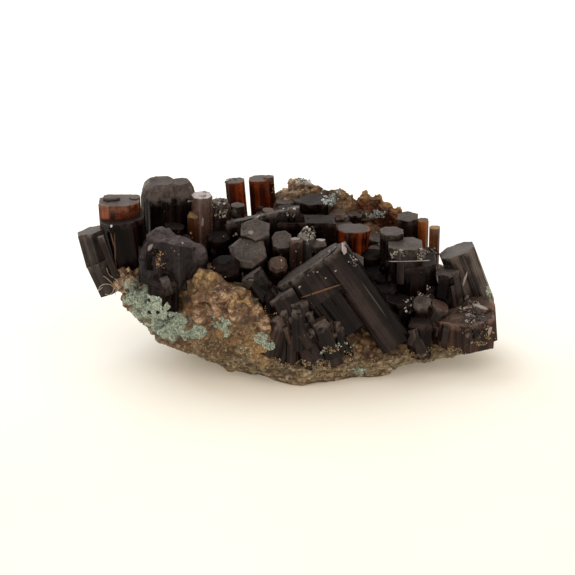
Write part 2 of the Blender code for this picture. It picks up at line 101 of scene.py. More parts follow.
@dataclass
class Crystal:
    """One prism. Its place is the middle of its end face: to the right, up the front view, and back."""

    across: float
    up: float
    back: float
    half: float
    length: float
    look: str = "dark"
    thick: float = 1.0
    lean: tuple = (0.0, 0.0)
    sides: int = 8
    turn: float = 0.0
    end: tuple = FLAT
    slant: tuple = (0.0, 0.0)
    foot: float = 1.0
    ridges: float = 1.0
    relief: float = 1.0


def height_of(up, back):
    """The height above the ground of a place seen this far up the front view and this far back."""
    return EYE_HEIGHT + (up - back * math.sin(VIEW_TILT)) / math.cos(VIEW_TILT)


def up_of(height, back):
    """How far up the front view a place of this height is seen."""
    return (height - EYE_HEIGHT) * math.cos(VIEW_TILT) + back * math.sin(VIEW_TILT)


def low(across, height, back, half, look="dark", **shape):
    """A short crystal placed by the height of its end face above the ground."""
    return Crystal(across, up_of(height, back), back, half, LOW_LENGTH, look, **shape)


def clamped(share):
    return min(1.0, max(0.0, share))


def linear(red, green, blue):
    """A colour written as on a screen, 0 to 255, as light."""
    shares = [channel / 255 for channel in (red, green, blue)]
    return tuple(s / 12.92 if s <= 0.04045 else ((s + 0.055) / 1.055) ** 2.4 for s in shares)


def section_angles(sides):
    """A tetragonal prism is a square with its corners cut; other sections are even."""
    if sides != 8:
        return [math.tau * (i + 0.5) / sides for i in range(sides)]
    corners = [quarter + cut for quarter in (0, 90, 180, 270) for cut in (-CORNER_CUT, CORNER_CUT)]
    return [math.radians(corner) for corner in corners]


def outline_of(crystal):
    """Points round the prism, with the way out and the distance walked at each."""
    corners = [
        np.array((math.cos(angle) * crystal.half, math.sin(angle) * crystal.half * crystal.thick))
        for angle in section_angles(crystal.sides)
    ]
    spots, outs, walked = [], [], []
    distance = 0.0
    for start, stop in zip(corners, corners[1:] + corners[:1]):
        side = stop - start
        length = float(np.linalg.norm(side))
        out = np.array((side[1], -side[0])) / length
        steps = max(3, round(length / AROUND_STEP))
        for i in range(steps):
            spots.append(start + side * i / steps)
            outs.append(out)
            walked.append(distance + length * i / steps)
        distance += length
    return np.array(spots), np.array(outs), np.array(walked)


def levels_of(crystal):
    """Rings from the end face to the foot: drop, share of the width, and 1 on the end or 0 on the sides."""
    levels = []
    first_share = crystal.end[0][1]
    cap_steps = max(2, round(crystal.half * first_share / CAP_STEP))
    for i in range(1, cap_steps):
        levels.append((0.0, first_share * i / cap_steps, 1.0))
    for (drop, share), (next_drop, next_share) in zip(crystal.end, crystal.end[1:]):
        run = math.hypot(next_drop - drop, (next_share - share) * crystal.half)
        steps = max(1, round(run / CAP_STEP))
        for i in range(steps):
            part = i / steps
            levels.append((drop + (next_drop - drop) * part, share + (next_share - share) * part, 1.0))
    last_drop = crystal.end[-1][0]
    steps = max(3, round((crystal.length - last_drop) / ALONG_STEP))
    for i in range(steps + 1):
        part = i / steps
        drop = last_drop + (crystal.length - last_drop) * part
        levels.append((drop, 1.0 + (crystal.foot - 1.0) * part, 0.0))
    return levels


def growth_lines(walked, drop, seed, amount):
    """Flat steps along the sides that run straight down the prism, with finer lines on them."""
    rise = np.empty(len(walked))
    for i, place in enumerate(walked):
        broad = noise.noise((place * 0.8, drop * 0.03, seed))
        narrow = noise.noise((place * 2.4, drop * 0.05, seed + 7.0))
        fine = noise.noise((place * 7.0, drop * 0.04, seed + 19.0))
        rise[i] = 0.9 * math.floor(broad * 4.0) / 4.0 + 0.6 * math.floor(narrow * 2.5) / 2.5 + 0.14 * fine
    return rise * amount


def end_relief(place, seed, amount):
    """Low plates and pits on the end face."""
    plates = math.floor(noise.noise((place.x * 1.1, place.y * 1.1, seed)) * 4.0) / 4.0
    pits = noise.noise((place.x * 3.6, place.y * 3.6, seed + 5.0))
    return (0.05 * plates + 0.02 * pits) * amount


def prism_arrays(crystal, seed):
    """Points, faces and the surface measures of one closed prism."""
    axis = Vector((crystal.lean[0], crystal.lean[1], 1.0)).normalized()
    right = (Vector((1, 0, 0)) - axis * axis.x).normalized()
    rear = axis.cross(right)
    middle = Vector((crystal.across, crystal.back, height_of(crystal.up, crystal.back))) + CENTRE
    turn = Matrix.Rotation(math.radians(crystal.turn), 2)
    spots, outs, walked = outline_of(crystal)
    ridge = min(0.08, 0.06 * crystal.half) * crystal.ridges
    relief = min(1.0, crystal.half) * crystal.relief
    points = []
    measures = {"around": [], "along": [], "end_face": [], "rim": []}

    def place_point(x, y, drop, end_share, distance, rim):
        spot = turn @ Vector((x, y))
        rise = (crystal.slant[0] * spot.x + crystal.slant[1] * spot.y) * (drop < crystal.length) - drop
        rise += end_relief(spot, seed, relief) * end_share
        points.append(middle + right * spot.x + rear * spot.y + axis * rise)
        for name, value in zip(measures, (distance, drop, end_share, rim)):
            measures[name].append(value)

    place_point(0.0, 0.0, 0.0, 1.0, 0.0, 0.0)
    levels = levels_of(crystal)
    for drop, share, on_end in levels:
        lines = growth_lines(walked, drop, seed, ridge) * (share if on_end else 1.0)
        rim = float(crystal.end[0][1] <= share and drop <= crystal.end[-1][0])
        for spot, out, line, distance in zip(spots, outs, lines, walked):
            x, y = spot * share + out * line
            place_point(x, y, drop, on_end, distance, rim)
    place_point(0.0, 0.0, crystal.length, 0.0, 0.0, 0.0)
    measures["own_seed"] = [seed] * len(points)
    count = len(spots)
    foot = len(points) - 1
    faces = [(0, 1 + i, 1 + (i + 1) % count) for i in range(count)]
    for level in range(len(levels) - 1):
        start = 1 + level * count
        for i in range(count):
            after = (i + 1) % count
            faces.append((start + i, start + count + i, start + count + after, start + after))
    last = 1 + (len(levels) - 1) * count
    faces.extend((last + (i + 1) % count, last + i, foot) for i in range(count))
    return points, faces, measures


def mesh_object(name, points, faces, measures=None, materials=()):
    mesh = bpy.data.meshes.new(name)
    mesh.from_pydata([tuple(point * MM) for point in points], [], faces)
    set_measures(mesh, measures or {})
    for material in materials:
        mesh.materials.append(material)
    piece = bpy.data.objects.new(name, mesh)
    bpy.context.scene.collection.objects.link(piece)
    return piece


def set_measures(mesh, measures):
    """Numbers at the vertices that the materials read."""
    for name, values in measures.items():
        attribute = mesh.attributes.new(name, "FLOAT", "POINT")
        attribute.data.foreach_set("value", np.asarray(values, np.float32))


def prism(name, crystal, seed, palette):
    points, faces, measures = prism_arrays(crystal, seed)
    piece = mesh_object(name, points, faces, measures, [MATERIALS[look] for look in palette])
    piece.data.polygons.foreach_set("material_index", [palette.index(crystal.look)] * len(faces))
    shape = bmesh.new()
    shape.from_mesh(piece.data)
    bmesh.ops.recalc_face_normals(shape, faces=shape.faces)
    shape.to_mesh(piece.data)
    shape.free()
    return piece


def joined_prisms(name, crystals, first_seed, seed_step):
    """Overlapping prisms joined in one solid."""
    palette = sorted({crystal.look for crystal in crystals})
    whole, *others = (
        prism(name + "_part", crystal, first_seed + seed_step * i, palette)
        for i, crystal in enumerate(crystals)
    )
    for other in others:
        boolean = whole.modifiers.new("union", "BOOLEAN")
        boolean.operation = "UNION"
        boolean.solver = "MANIFOLD"
        boolean.object = other
        evaluated_mesh(whole)
        bpy.data.objects.remove(other)
    whole.name = name + "_skin"
    return whole


def evaluated_mesh(piece):
    bpy.context.view_layer.update()
    graph = bpy.context.evaluated_depsgraph_get()
    mesh = bpy.data.meshes.new_from_object(piece.evaluated_get(graph))
    piece.modifiers.clear()
    piece.data = mesh
    return mesh


def add_remesh(piece, voxel):
    remesh = piece.modifiers.new("remesh", "REMESH")
    remesh.mode = "VOXEL"
    remesh.voxel_size = voxel * MM


def reshape(mesh, places, measures, material):
    """Moves the vertices, and gives the mesh its measures and its one material."""
    for vertex, place in zip(mesh.vertices, places):
        vertex.co = place
    set_measures(mesh, measures)
    mesh.materials.clear()
    mesh.materials.append(material)


def soften(piece, voxel, rounds, lumps, look):
    """Melts the prisms of a piece into one rounded mass with an uneven skin."""
    add_remesh(piece, voxel)
    smooth = piece.modifiers.new("smooth", "SMOOTH")
    smooth.factor = 0.5
    smooth.iterations = rounds
    mesh = evaluated_mesh(piece)
    measures = {"around": [], "along": [], "end_face": []}
    places = []
    for vertex in mesh.vertices:
        place = vertex.co / MM
        rise = lumps * (noise.noise(place * 1.6) + 0.6 * noise.noise(place * 4.5)) - 0.5 * lumps
        measures["around"].append(place.x + place.y)
        measures["along"].append(-place.z)
        measures["end_face"].append(clamped((vertex.normal.z - 0.1) / 0.6))
        places.append(vertex.co + vertex.normal * rise * MM)
    reshape(mesh, places, measures, MATERIALS[look])


def finish_piece(piece, slot, sharp=False):
    piece.data.shade_smooth()
    if sharp:
        piece.data.set_sharp_from_angle(angle=SHARP_ANGLE)
    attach(piece, BODY)
    DONE.append(piece)


def crystal_group(name, slot, crystals, first_seed):
    """A piece that stands for the CAD node of the same name."""
    piece = joined_prisms(name, crystals, first_seed, PRISM_SEED_STEP)
    if name in SOFTENED:
        soften(piece, *SOFTENED[name])
    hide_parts(name)
    finish_piece(piece, slot, sharp=name not in SOFTENED)


CRYSTAL_IOR = 1.71


@dataclass
class Look:
    """How a crystal looks: screen colours of its sides and ends, with painted sheen in the light side colour
    and painted reflection in the lighter end colours, roughness, and light that passes through.
    """

    side_dark: tuple
    side_light: tuple
    end_dark: tuple
    end_light: tuple
    side_roughness: float = 0.26
    end_roughness: float = 0.4
    gloss: float = 0.13
    clear: float = 0.0
    tint: tuple = (1.0, 1.0, 1.0)
    density: float = 0.0
    frost: float = 0.5
    # Share of the light specks: partly dusty grains, partly painted glints
    dust_and_glints: float = 0.6
    # Colour of the painted highlights along the rims and on the fine lines of the sides
    edge: tuple = (96, 86, 80)


LOOKS = {
    "dark": Look((7, 3, 3), (52, 40, 38), (54, 46, 43), (90, 81, 77), gloss=0.08),
    # Near-black for crystals deep in gaps and hollows and in shadow: painted shade
    "jet": Look(
        (3, 1, 1), (16, 7, 6), (7, 4, 4), (24, 17, 16), 0.25, 0.6, gloss=0.035, frost=0.2, edge=(40, 30, 28),
    ),
    "black": Look((5, 1, 1), (30, 15, 13), (24, 18, 17), (44, 37, 36), 0.2, gloss=0.045, edge=(58, 46, 42)),
    "ember": Look(
        (18, 7, 5), (86, 54, 40), (34, 25, 22), (102, 82, 72), 0.3, 0.45, gloss=0.1, edge=(124, 96, 84),
    ),
    "grey": Look((24, 14, 12), (74, 60, 55), (52, 44, 41), (92, 83, 79), 0.34, 0.45, gloss=0.1, dust_and_glints=1.0),
    "brown": Look((18, 8, 6), (72, 50, 41), (58, 42, 35), (90, 70, 60), 0.3, 0.45, gloss=0.1),
    "dome": Look(
        (8, 3, 3), (34, 22, 20), (44, 34, 33), (78, 66, 63), 0.26, 0.45, gloss=0.09, frost=0.8, dust_and_glints=1.0,
    ),
    "frosted": Look(
        (22, 15, 15), (56, 47, 48), (40, 32, 33), (88, 78, 80), 0.38, 0.5, gloss=0.1, frost=1.0, dust_and_glints=1.0,
    ),
    # Lighter sides for crystals whose faces catch the light: painted sheen
    "bright": Look((26, 18, 16), (102, 88, 81), (58, 50, 47), (98, 90, 85), 0.34, 0.45, gloss=0.12, dust_and_glints=1.0),
    # A light, glossier grey for facets that shine: painted sheen
    "silver": Look(
        (40, 36, 34), (104, 98, 92), (84, 79, 75), (150, 144, 138), 0.35, 0.5, gloss=0.3, frost=1.0,
    ),
    "orange": Look(
        (26, 7, 3), (182, 92, 26), (70, 50, 38), (100, 80, 64), 0.25, 0.45,
        gloss=0.12, clear=0.2, tint=(1.0, 0.42, 0.1), density=900.0, edge=(150, 96, 50),
    ),
    "band": Look(
        (34, 11, 5), (176, 82, 26), (62, 50, 44), (98, 84, 76), 0.25, 0.45,
        gloss=0.1, clear=0.2, tint=(1.0, 0.36, 0.09), density=900.0, edge=(140, 84, 44),
    ),
    "red": Look(
        (30, 10, 7), (176, 76, 30), (58, 47, 43), (84, 72, 67), 0.22, 0.45,
        gloss=0.12, clear=0.2, tint=(1.0, 0.3, 0.07), density=900.0, edge=(120, 60, 30),
    ),
    "amber": Look(
        (66, 32, 12), (150, 92, 40), (110, 74, 38), (178, 136, 84), 0.42, 0.5,
        clear=0.2, tint=(1.0, 0.62, 0.25), density=500.0, frost=1.0,
    ),
    "pale": Look(
        (80, 54, 44), (150, 124, 116), (150, 134, 134), (210, 198, 198), 0.22, 0.35,
        gloss=0.4, clear=0.25, tint=(1.0, 0.8, 0.74), density=300.0,
    ),
}


class Nodes:
    """A new material, with short ways to add nodes to its tree."""

    def __init__(self, name):
        self.material = bpy.data.materials.new(name)
        self.material.use_nodes = True
        self.tree = self.material.node_tree

    def put(self, socket, value):
        if isinstance(value, bpy.types.NodeSocket):
            self.tree.links.new(value, socket)
        elif isinstance(value, tuple) and len(value) == 3 and socket.type == "RGBA":
            socket.default_value = (*value, 1.0)
        else:
            socket.default_value = value

    def add(self, kind, inputs=None, **settings):
        node = self.tree.nodes.new(kind)
        for key, value in settings.items():
            setattr(node, key, value)
        for key, value in (inputs or {}).items():
            self.put(node.inputs[key], value)
        return node

    def finish(self, inputs):
        """Fills in the material's own shader."""
        for key, value in inputs.items():
            self.put(self.tree.nodes["Principled BSDF"].inputs[key], value)
        return self.material

    def measure(self, name):
        return self.add("ShaderNodeAttribute", attribute_name=name).outputs["Fac"]

    def plus(self, first, second):
        return self.add("ShaderNodeMath", {0: first, 1: second}, operation="ADD").outputs[0]

    def times(self, first, second):
        return self.add("ShaderNodeMath", {0: first, 1: second}, operation="MULTIPLY").outputs[0]

    def scaled(self, vector, scale):
        return self.add("ShaderNodeVectorMath", {0: vector, 1: scale}, operation="MULTIPLY").outputs[0]

    def place(self):
        """Object coordinates in millimetres."""
        return self.scaled(self.add("ShaderNodeTexCoord").outputs["Object"], (1.0 / MM,) * 3)

    def noise(self, vector, scale, detail=3.0, roughness=0.55):
        inputs = {"Vector": vector, "Scale": scale, "Detail": detail, "Roughness": roughness}
        return self.add("ShaderNodeTexNoise", inputs).outputs["Fac"]

    def cells(self, vector, scale):
        """The distance from the middle of each cell, and a random share for each."""
        outputs = self.add("ShaderNodeTexVoronoi", {"Vector": vector, "Scale": scale}).outputs
        return outputs["Distance"], self.add("ShaderNodeSeparateColor", {0: outputs["Color"]}).outputs[0]

    def between(self, value, low_end, high_end):
        """The value stretched so that low_end gives 0 and high_end gives 1."""
        inputs = {"Value": value, "From Min": low_end, "From Max": high_end}
        return self.add("ShaderNodeMapRange", inputs, clamp=True).outputs[0]

    def blend(self, share, first, second, kind="FLOAT"):
        inputs = {"Factor": share, "A": first, "B": second}
        return self.add("ShaderNodeMix", inputs, data_type=kind).outputs["Result"]

    def mix(self, share, first, second):
        """A mix of two colours. One that nodes don't make is written as on a screen."""
        colours = (linear(*colour) if isinstance(colour, tuple) else colour for colour in (first, second))
        return self.blend(share, *colours, "RGBA")

    def tone(self, value, low_end, high_end, under, over):
        """One colour where the value is under low_end, the other where it is over high_end."""
        return self.mix(self.between(value, low_end, high_end), under, over)

    def bump(self, height, strength, distance):
        inputs = {"Height": height, "Strength": strength, "Distance": distance * MM}
        return self.add("ShaderNodeBump", inputs).outputs[0]


# Finished pieces that small things can lie on
DONE = []


def crystal_material(name, look):
    """Sides with lines along the prism and painted sheen on them, duller ends with a fine skin whose lighter
    grey is partly painted reflection, a painted highlight along the rims, and a few light specks that are
    partly dusty grains and partly painted glints.
    """
    nodes = Nodes("crystal_" + name)
    between, blend, mix, plus, times = nodes.between, nodes.blend, nodes.mix, nodes.plus, nodes.times
    around, along, seed = (nodes.measure(measure) for measure in ("around", "along", "own_seed"))
    end_face = between(nodes.measure("end_face"), 0.35, 0.65)
    place = nodes.place()

    def wall(across_scale, down_scale, detail, roughness=0.55):
        """Noise drawn out along the prism, other in each crystal."""
        spot = {0: times(around, across_scale), 1: times(along, down_scale), 2: seed}
        return nodes.noise(nodes.add("ShaderNodeCombineXYZ", spot).outputs[0], 1.0, detail, roughness)

    lines = wall(2.1, 0.08, 2.0, 0.4)
    fine_lines = wall(12.0, 0.12, 2.0)
    # Broad light and dark strips round the sides are painted sheen of the facets; the light side colour is
    # partly the crystal's own streaks and partly painted sheen
    sheen_strips = between(wall(0.95, 0.03, 1.0, 0.3), 0.42, 0.58)
    patches = nodes.noise(place, 0.7, 4.0)
    skin = nodes.noise(place, 5.5, 5.0, 0.7)
    mixed = plus(times(lines, 0.72), times(fine_lines, 0.28))
    side_share = between(plus(mixed, times(patches, 0.5)), 0.64, 0.94)
    side_share = times(side_share, blend(sheen_strips, 0.12 if look.clear else 0.35, 1.0))
    side = mix(side_share, look.side_dark, look.side_light)
    # Painted highlights in the edge colour on the peaks of the fine lines, stronger on the lighter strips
    side = mix(times(between(fine_lines, 0.56, 0.68), blend(sheen_strips, 0.02, 0.18)), side, look.edge)
    # The ends are lighter than the sides: their grey is partly the frosted skin and partly painted reflection
    # of the bright surroundings
    end = nodes.tone(plus(skin, times(patches, 0.7)), 0.65, 1.1, look.end_dark, look.end_light)
    # Painted highlight in the edge colour along the rims of the end faces, with some lighter wear there too
    wear_and_rim_highlight = times(nodes.measure("rim"), between(nodes.noise(place, 1.7, 3.0), 0.42, 0.6))
    colour = mix(times(wear_and_rim_highlight, 0.8), mix(end_face, side, end), look.edge)
    # Light specks in (150, 140, 130): partly dusty grains on the faces, partly painted glints
    distance, chance = nodes.cells(place, 2.6)
    dust_and_glint_speck = times(between(distance, 0.075, 0.045), between(chance, 0.78, 0.82))
    colour = mix(times(dust_and_glint_speck, look.dust_and_glints), colour, (150, 140, 130))
    side_rough = blend(between(patches, 0.3, 0.7), look.side_roughness * 0.75, look.side_roughness * 1.35)
    end_rough = blend(skin, look.end_roughness * 0.8, look.end_roughness * 1.25)
    bumps = nodes.bump(mixed, 0.4, 0.04), nodes.bump(skin, 0.2 + 0.35 * look.frost, 0.04)
    if look.clear:
        inside = nodes.add("ShaderNodeVolumeAbsorption", {"Color": look.tint, "Density": look.density})
        nodes.put(nodes.tree.nodes["Material Output"].inputs["Volume"], inside.outputs[0])
    return nodes.finish({
        "Base Color": colour, "Roughness": blend(end_face, side_rough, end_rough), "IOR": CRYSTAL_IOR,
        "Specular IOR Level": look.gloss, "Transmission Weight": look.clear,
        "Normal": blend(end_face, *bumps, "VECTOR"),
    })


MATERIALS = {name: crystal_material(name, look) for name, look in LOOKS.items()}


# Crystals of each CAD node, its material slot and the seed of its growth lines
GROUPS = {
    "tilted_crystal": (DARK, [
        Crystal(1.55, 1.85, -2.3, 3.25, 6.4, thick=0.5, lean=(-0.72, 0.2), ridges=2.2),
        Crystal(1.45, 1.6, -3.1, 3.1, 2.9, thick=0.36, lean=(-0.72, 0.2), ridges=2.4),
        Crystal(3.45, 2.85, -2.75, 1.5, 9.2, thick=0.8, lean=(-0.72, 0.2), ridges=1.8),
        Crystal(2.9, -0.6, -2.0, 1.5, 6.6, "brown", thick=0.7, lean=(-0.6, 0.2), sides=6, ridges=1.6),
    ]),
    "stepped_crystal": (DARK, [
        Crystal(10.3, 2.35, 0.5, 1.95, 5.2, "black"),
        Crystal(9.5, 3.55, 0.2, 1.55, 3.0),
        Crystal(8.45, 4.6, 1.6, 1.05, 4.5),
    ]),
    "front_left_crystal": (GREY, [
        Crystal(-10.0, 4.75, -2.0, 2.0, 4.6, "frosted", thick=0.9, lean=(0.05, -0.05), sides=6, end=STEEP),
        Crystal(-8.75, 4.0, -2.0, 1.75, 4.0, "frosted", end=BEVELLED, turn=20, slant=(-0.25, -0.2)),
        Crystal(-7.45, 3.45, -2.0, 1.4, 3.6, "frosted", lean=(0.1, 0.0), end=ROUNDED, turn=10),
    ]),
    "left_tall_crystal": (DARK, [
        Crystal(-13.55, 7.05, 1.6, 1.85, 5.0, "band", thick=0.8, lean=(-0.03, 0.0)),
        Crystal(-13.3, 5.75, 0.9, 2.0, 6.0, "black", lean=(-0.13, 0.03), foot=0.8),
        Crystal(-14.2, 7.35, 1.8, 0.75, 1.5, "grey", thick=0.7),
        Crystal(-12.35, 7.35, 2.0, 0.5, 1.5, "grey"),
    ]),
    "domed_crystal": (DARK, [
        Crystal(-10.35, 8.75, 4.6, 1.85, 7.0, "dome", end=DOMED),
        Crystal(-8.75, 8.7, 4.5, 1.3, 7.0, "dome", end=DOMED, turn=20),
    ]),
    "grey_slab_crystal": (GREY, [
        Crystal(-3.2, 3.0, -0.8, 1.65, 4.2, "grey", lean=(-0.1, -0.75), sides=6, turn=12, end=BEVELLED),
        Crystal(-2.6, 4.7, 0.5, 1.35, 4.2, "grey", thick=0.8, lean=(0.0, -0.7), sides=6),
    ]),
    "right_end_crystal": (DARK, [
        Crystal(13.75, 3.05, 1.3, 1.6, 5.4, "bright", thick=0.85, lean=(-0.38, 0.0), turn=3, ridges=1.8),
        Crystal(12.9, 1.4, 0.15, 1.1, 4.6, lean=(-0.2, 0.02), sides=6, turn=5),
    ]),
    "red_orange_crystal": (ORANGE, [Crystal(5.4, 4.85, 2.6, 1.5, 4.2, "red", thick=0.7, foot=0.75)]),
    "black_crystal": (DARK, [Crystal(1.55, 5.6, 2.6, 3.4, 5.0, "black", thick=0.38, sides=4, ridges=2.0)]),
    "centre_upper_crystals": (GREY, [
        Crystal(-0.45, 3.85, 0.4, 0.95, 4.0, "grey", lean=(0.0, -0.65), turn=8),
        Crystal(0.7, 3.85, -0.2, 0.62, 3.6, "brown"),
    ]),
    "centre_lower_crystal": (DARK, [
        Crystal(-0.75, 2.0, -1.2, 0.88, 3.5, "brown", lean=(0.05, -0.7), turn=15, end=BEVELLED),
    ]),
    "frosted_crystal": (GREY, [
        Crystal(1.5, 4.9, 0.9, 0.85, 3.4, "silver", sides=6, end=POINTED),
        Crystal(2.55, 3.75, 0.7, 0.7, 3.0, end=BEVELLED),
    ]),
    "fan_crystals": (DARK, [
        Crystal(-0.7, -0.5, -4.0, 1.4, 6.5, thick=0.9, lean=(-0.6, 0.2)),
        Crystal(0.7, -1.0, -4.4, 1.1, 5.6, lean=(-0.15, 0.1), sides=6),
        Crystal(-0.3, -1.9, -5.0, 0.95, 3.8, "brown", lean=(0.3, 0.1), sides=6, end=POINTED),
        Crystal(2.2, -2.6, -4.8, 1.0, 4.0, "brown", lean=(-0.4, 0.1), sides=6),
    ]),
    "pale_crystal": (PALE, [
        Crystal(-7.0, 7.55, 3.4, 0.9, 5.0, "pale", turn=20),
        Crystal(-7.6, 6.1, 3.0, 0.65, 4.0, "amber", sides=6, end=BEVELLED),
    ]),
    "back_left_stub": (ORANGE, [Crystal(-4.4, 8.95, 7.9, 0.9, 3.8, "red", lean=(-0.08, 0.05))]),
    "back_right_stub": (ORANGE, [
        Crystal(-2.4, 9.15, 8.3, 0.95, 4.0, "red", lean=(-0.06, 0.05)),
        Crystal(-1.6, 9.3, 8.4, 0.52, 4.0, "red", lean=(-0.06, 0.05), sides=6),
    ]),
    "orange_crystal": (ORANGE, [Crystal(11.2, 5.6, 4.6, 0.5, 4.0, "orange")]),
    "brown_column_crystal": (ORANGE, [Crystal(12.1, 4.95, 3.7, 0.5, 4.0, "amber")]),
    "amber_crystals": (ORANGE, [
        Crystal(6.5, 8.0, 7.6, 0.85, 2.8, "amber", sides=6, end=ROUNDED),
        Crystal(7.5, 7.8, 7.4, 0.6, 2.8, "amber", sides=6, end=ROUNDED),
        Crystal(8.3, 7.2, 7.0, 0.75, 2.8, "amber", sides=6, end=ROUNDED),
        Crystal(9.2, 6.8, 6.6, 0.6, 2.8, "amber", sides=6, end=ROUNDED),
    ]),
    "dark_back_slab": (DARK, [
        Crystal(9.95, 5.9, 5.0, 1.0, 4.0, "grey", thick=0.8, lean=(0.0, -0.2), sides=6),
    ]),
    "left_outer_crystal": (DARK, [
        Crystal(-15.95, 4.6, 1.1, 1.25, 2.9, "bright", thick=0.8, lean=(-0.22, 0.03), sides=6, turn=8),
    ]),
    "left_broken_crystal": (DARK, [
        Crystal(-15.45, 2.15, 0.9, 1.15, 2.8, "bright", thick=0.9, lean=(-0.42, 0.1), sides=6, turn=10),
    ]),
    "left_sliver_crystal": (PALE, [
        Crystal(-14.95, 4.1, -0.6, 0.36, 4.2, "grey", thick=0.8, lean=(-0.33, 0.05), sides=4),
    ]),
    "broken_crystal": (DARK, [
        Crystal(14.2, -2.0, -1.7, 2.85, 2.7, "ember", thick=0.8, sides=6, slant=(0.05, 0.1), relief=3.0),
        Crystal(15.5, -1.1, -0.8, 1.5, 3.3, "ember", lean=(-0.1, 0.0), sides=6, end=BEVELLED),
    ]),
    "small_front_crystals": (DARK, [
        Crystal(10.7, -1.0, -2.6, 0.85, 3.4, lean=(-0.2, -0.3), end=BEVELLED),
        Crystal(12.3, -1.4, -2.2, 0.85, 4.2, "brown", lean=(0.5, -0.1)),
        Crystal(9.9, -3.4, -4.2, 0.5, 2.6, "grey", lean=(-0.45, 0.1), sides=4, turn=30),
        Crystal(10.6, -2.6, -3.4, 1.1, 3.0, "black", sides=6, end=BEVELLED),
    ]),
    # Painted shade: the shaded side of a crystal, in near-black
    "dark_round_crystal": (DARK, [
        Crystal(-5.1, 2.2, -2.8, 1.3, 3.4, "jet", lean=(-0.15, -0.35), end=ROUNDED),
    ]),
    "plate_crystal": (DARK, [
        Crystal(-2.0, 5.95, 2.3, 4.25, 4.0, thick=0.1, sides=4, slant=(0.24, 0.0)),
        Crystal(-1.6, 6.35, 3.1, 0.5, 3.0, "brown"),
    ]),
    "grey_column_crystal": (GREY, [
        Crystal(-5.5, 7.1, 3.9, 0.72, 5.0, "grey", lean=(0.03, 0.0)),
        Crystal(-4.1, 6.8, 4.6, 0.62, 5.0, "grey", sides=6),
        Crystal(-4.9, 5.6, 4.0, 0.85, 3.5, end=BEVELLED),
    ]),
    "dark_stub_crystal": (DARK, [Crystal(-5.6, 4.3, 1.2, 1.05, 4.0, "jet", end=BEVELLED, turn=12)]),
    "black_back_crystals": (DARK, [
        Crystal(2.2, 7.3, 5.6, 1.35, 6.0, "black"),
        Crystal(0.1, 6.6, 5.2, 1.4, 4.5, "black", thick=0.8, sides=6, end=BEVELLED),
    ]),
    "grey_hexagonal_crystal": (GREY, [
        Crystal(5.5, 2.2, -0.1, 0.78, 3.5, "grey", lean=(0.1, -0.5), sides=6),
        Crystal(4.75, 3.15, 0.3, 0.4, 2.4, "silver", end=ROUNDED),
    ]),
    "block_crystal": (DARK, [Crystal(-2.9, 1.1, -3.3, 1.0, 4.0, lean=(-0.72, 0.26))]),
    # Painted shade: near-black crystals that fill the dark hollow
    "dark_low_crystals": (DARK, [
        Crystal(6.9, 2.9, 1.7, 1.0, 4.0, "jet", end=BEVELLED),
        Crystal(7.2, 1.5, 0.4, 1.2, 4.0, "jet", lean=(-0.1, -0.2), end=BEVELLED),
        Crystal(7.8, 0.1, -1.2, 1.15, 4.0, "jet", lean=(-0.25, -0.2), sides=6, end=BEVELLED),
        Crystal(8.9, -0.9, -2.6, 1.15, 4.6, "jet", lean=(0.12, 0.0), sides=6),
    ]),
    "low_left_crystals": (DARK, [
        low(-11.2, 9.9, -0.1, 1.0, "black", turn=10),
        low(-10.3, 10.2, 1.3, 1.1, "black", sides=6),
        low(-8.8, 9.9, 1.0, 1.1, "black", turn=25),
        low(-7.7, 9.7, 0.2, 0.9, "black", end=BEVELLED),
        low(-9.2, 10.5, 2.3, 0.9, "black", lean=(0.1, 0.05)),
    ]),
    "low_back_left_crystals": (DARK, [
        low(-11.9, 10.5, 4.6, 0.9, "brown", lean=(-0.15, 0.1)),
        low(-11.2, 10.9, 6.0, 1.0, "brown", sides=6, lean=(-0.1, 0.15)),
        low(-9.7, 11.0, 6.9, 1.1, turn=12, lean=(0.0, 0.15)),
        low(-8.1, 11.2, 6.9, 1.0, "brown", end=BEVELLED),
        low(-6.8, 10.9, 6.2, 0.95, "grey", sides=6, turn=8),
        low(-5.8, 10.7, 5.6, 0.8),
    ]),
    "low_middle_crystals": (DARK, [
        low(-3.1, 9.6, 5.6, 1.0, turn=15),
        low(-2.2, 9.3, 4.4, 0.9, sides=6),
        low(-4.2, 9.5, 6.4, 0.8, "brown", end=BEVELLED),
        low(-1.9, 9.7, 6.6, 0.8, turn=30),
    ]),
    "low_back_middle_crystals": (DARK, [
        low(-0.2, 10.6, 7.3, 0.9, "brown", lean=(0.0, 0.1)),
        low(1.3, 10.7, 7.6, 1.0, sides=6),
        low(2.9, 10.4, 7.4, 1.0, "brown", turn=20),
        low(4.15, 9.85, 6.6, 1.0, "brown", end=BEVELLED),
        low(4.6, 9.3, 5.2, 0.95, sides=6, turn=10),
        low(5.6, 9.6, 7.2, 0.8, "brown", turn=5),
    ]),
    "low_right_crystals": (DARK, [
        low(7.6, 8.3, 5.0, 1.0, "grey", sides=6),
        low(8.3, 8.2, 4.0, 0.95, turn=15),
        low(7.3, 8.0, 3.6, 0.8, "brown", end=BEVELLED),
        low(10.9, 7.0, 2.9, 0.8, "black", sides=6, turn=20),
        low(9.7, 7.6, 3.6, 0.95, "black", turn=5),
        low(12.1, 6.3, 2.2, 0.8, "grey", lean=(0.1, 0.1)),
    ]),
}

# The lower body of the frosted front left crystal where it lies in shadow, in black: painted shade
SHADED_FRONT_LEFT_FOOT = (
    Crystal(-9.8, 0.75, -3.6, 1.4, 3.0, "black", thick=0.95, lean=(0.05, -0.15), sides=6, end=BEVELLED),
    Crystal(-9.7, 0.7, -4.5, 0.5, 1.4, "grey", lean=(-0.2, -0.15), sides=4, turn=20),
)

# Pieces whose prisms melt into one rounded mass: voxel, rounds of smoothing, lumps and look
SOFTENED = {
    "front_left_crystal": (0.1, 3, 0.13, "frosted"),
    "amber_crystals": (0.08, 16, 0.2, "amber"),
}

